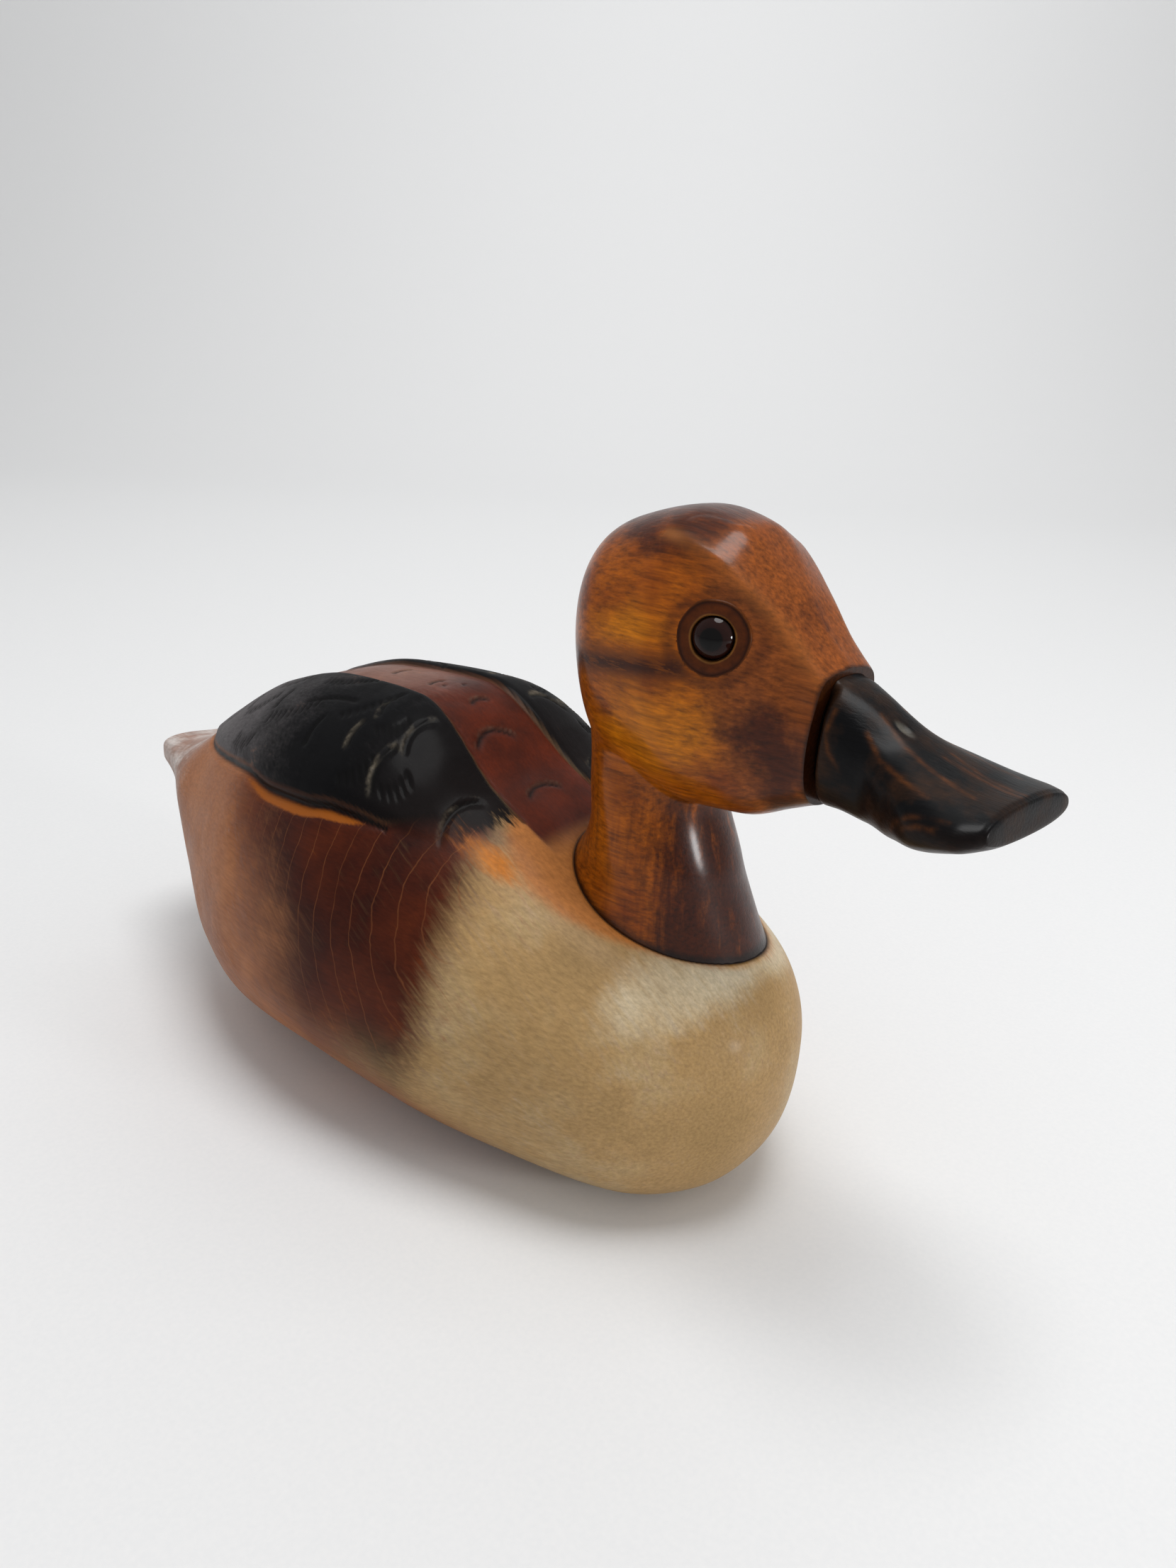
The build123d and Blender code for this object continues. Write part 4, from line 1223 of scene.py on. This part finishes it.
# Metal with a mottled surface; grain is the size of its patches in mm, low and high its roughness
def mottledMetal(name, bright, dull, grain, metallic, low, high):
    material, tree = newMaterial(name)
    place = addNode(tree, "TexCoord").outputs["Object"]
    patches = addNode(tree, "TexNoise", {
        "Vector": place, "Scale": 1000 / grain, "Detail": 5.0, "Roughness": 0.65})
    spots = addNode(tree, "TexVoronoi", {"Vector": place, "Scale": 2500 / grain})
    tarnish = addNode(tree, "MapRange", {"Value": patches, "From Min": 0.35, "From Max": 0.65})
    rough = addNode(tree, "MapRange", {
        "Value": patches, "From Min": 0.3, "From Max": 0.7, "To Min": low, "To Max": high})
    height = addNode(tree, "Mix", {"Factor": 0.3, "A": patches, "B": spots}, data_type="FLOAT")
    closeMaterial(tree, height, 0.2, 0.0002, {
        "Base Color": layStains(tree, linear(bright), (tarnish, linear(dull))),
        "Metallic": metallic, "Roughness": rough})
    return material


# Cork, pressed and greased: brown granules
def greasedCork(name):
    material, tree = newMaterial(name)
    place = addNode(tree, "TexCoord").outputs["Object"]
    granule = addNode(tree, "TexVoronoi", {"Vector": place, "Scale": 900.0}).outputs["Distance"]
    tone = addNode(tree, "ValToRGB", {"Fac": granule}, stops=[
        (0.0, linear("#6A4626")), (0.7, linear("#3A2414"))])
    closeMaterial(tree, granule, 0.4, 0.0004, {"Base Color": tone, "Roughness": 0.6})
    return material


bodyWood = carvedBasswood("carvedBasswood", bodyFinish)
headWood = amberBasswood("amberBasswood", headFinish)
billWood = blackenedBasswood("blackenedBasswood", billFinish)
eyeGlass = enamelBackedGlass("enamelBackedGlass")
putty = stainedPutty("stainedPutty")
pine = sealedWood("sealedPine", "#8E6B45", "#5C3C22")  # warm brown with dark lines
beech = sealedWood("turnedBeech", "#B08A5C", "#8B6540")  # paler and more even
lead = mottledMetal("castLead", "#6C6F72", "#3E4144", 3.5, 0.75, 0.5, 0.72)  # dull blue-grey
brass = mottledMetal("agedBrass", "#A9833F", "#5E4621", 2.0, 1.0, 0.28, 0.5)  # yellow going brown
steel = mottledMetal("zincPlatedSteel", "#A8ABAE", "#7C8084", 2.5, 1.0, 0.25, 0.4)  # bright grey
cork = greasedCork("greasedCork")
print("materials mixed")


for piece, material, node, slot in (
    (carvedBody, bodyWood, "body_shell", "stained_body"),
    (carvedHead, headWood, "head", "stained_head"),
    (carvedBill, billWood, "bill", "dark_bill"),
    (rightGlass, eyeGlass, "right_eye", "brown_glass"),
    (leftGlass, eyeGlass, "left_eye", "brown_glass"),
    (rightPutty, putty, "right_eye_putty", "eye_putty"),
    (leftPutty, putty, "left_eye_putty", "eye_putty"),
):
    piece.data.materials.clear()
    piece.data.materials.append(material)
    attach(piece, "decoy")
    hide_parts(node)

for node, material in {
    "bottom_board": pine, "board_gasket": cork, "bottom_board_screws": brass, "ballast_weight": lead,
    "ballast_screws": brass, "bill_dowel": beech, "neck_dowel": beech, "neck_screw": steel,
    "neck_washer": steel, "line_tie_plate": brass, "line_tie_ring": brass, "line_tie_screws": brass,
}.items():
    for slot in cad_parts[node].material_slots:
        slot.material = material


# a pale seamless floor that curves up far behind
studio = {
    "floor": "#E6E7E8",
    "floorPale": "#EDEDED",
    "reach": 12.0,
    "drop": -0.0003,  # just under the decoy, so the two never lie in one plane
    "curveStart": 1.2,
    "curveRadius": 0.8,
    "wallTop": 2.6,
    # x, y, z, size in m, watts and where it aims
    "overhead": (0.14, 0.0, 1.24, 0.6, 7.9, (0.01, 0.0, 0.07)),
    "window": (0.95, 0.22, 0.19, 0.14, 2.4, (0.01, 0.0, 0.07)),
    "backdrop": (-0.5, 0.9, 1.5, 1.2, 8.0, (-1.3, 1.6, 0.5)),
    "sky": 0.50,
}


def makeFloor():
    start, radius = studio["curveStart"], studio["curveRadius"]
    turns = [math.pi / 2 * k / 12 for k in range(1, 13)]
    profile = [(-studio["reach"], 0.0), (0.0, 0.0), (start, 0.0)]
    profile += [(start + radius * math.sin(turn), radius * (1 - math.cos(turn))) for turn in turns]
    profile.append((start + radius, studio["wallTop"]))
    azimuth = math.radians(cameraSetup["azimuth"])
    away = Vector((-math.sin(azimuth), math.cos(azimuth), 0))
    level = Vector((math.cos(azimuth), math.sin(azimuth), 0)) * studio["reach"]
    points = []
    for reach, height in profile:
        centre = away * reach + Vector((0, 0, height + studio["drop"]))
        points += [centre - level, centre + level]
    mesh = bpy.data.meshes.new("floor")
    mesh.from_pydata(points, [], [(k, k + 1, k + 3, k + 2) for k in range(0, len(points) - 2, 2)])
    mesh.shade_smooth()
    # Paper, matt: a faint tooth
    material, tree = newMaterial("matPaper")
    place = addNode(tree, "TexCoord").outputs["Object"]
    tooth = addNode(tree, "TexNoise", {"Vector": place, "Scale": 900.0, "Detail": 3.0})
    tone = layStains(tree, linear(studio["floor"]), (tooth, linear(studio["floorPale"])))
    surface = addNode(tree, "BsdfPrincipled", {"Base Color": tone, "Roughness": 0.9})
    addNode(tree, "OutputMaterial", {"Surface": surface})
    mesh.materials.append(material)
    newPiece("floor", mesh)


def lightStudio():
    for name in ("overhead", "window", "backdrop"):
        x, y, z, size, power, target = studio[name]
        light = bpy.data.lights.new(name, "AREA")
        light.shape = "DISK"
        light.size = size
        light.energy = power
        lamp = newPiece(name, light)
        lamp.location = (x, y, z)
        lamp.rotation_euler = (Vector(target) - lamp.location).to_track_quat("-Z", "Y").to_euler()
    world = bpy.data.worlds.new("studioAir")
    world.use_nodes = True
    sky = world.node_tree.nodes["Background"]
    sky.inputs["Color"].default_value = (1, 1, 1, 1)
    sky.inputs["Strength"].default_value = studio["sky"]
    bpy.context.scene.world = world


makeFloor()
lightStudio()
print("studio lit")
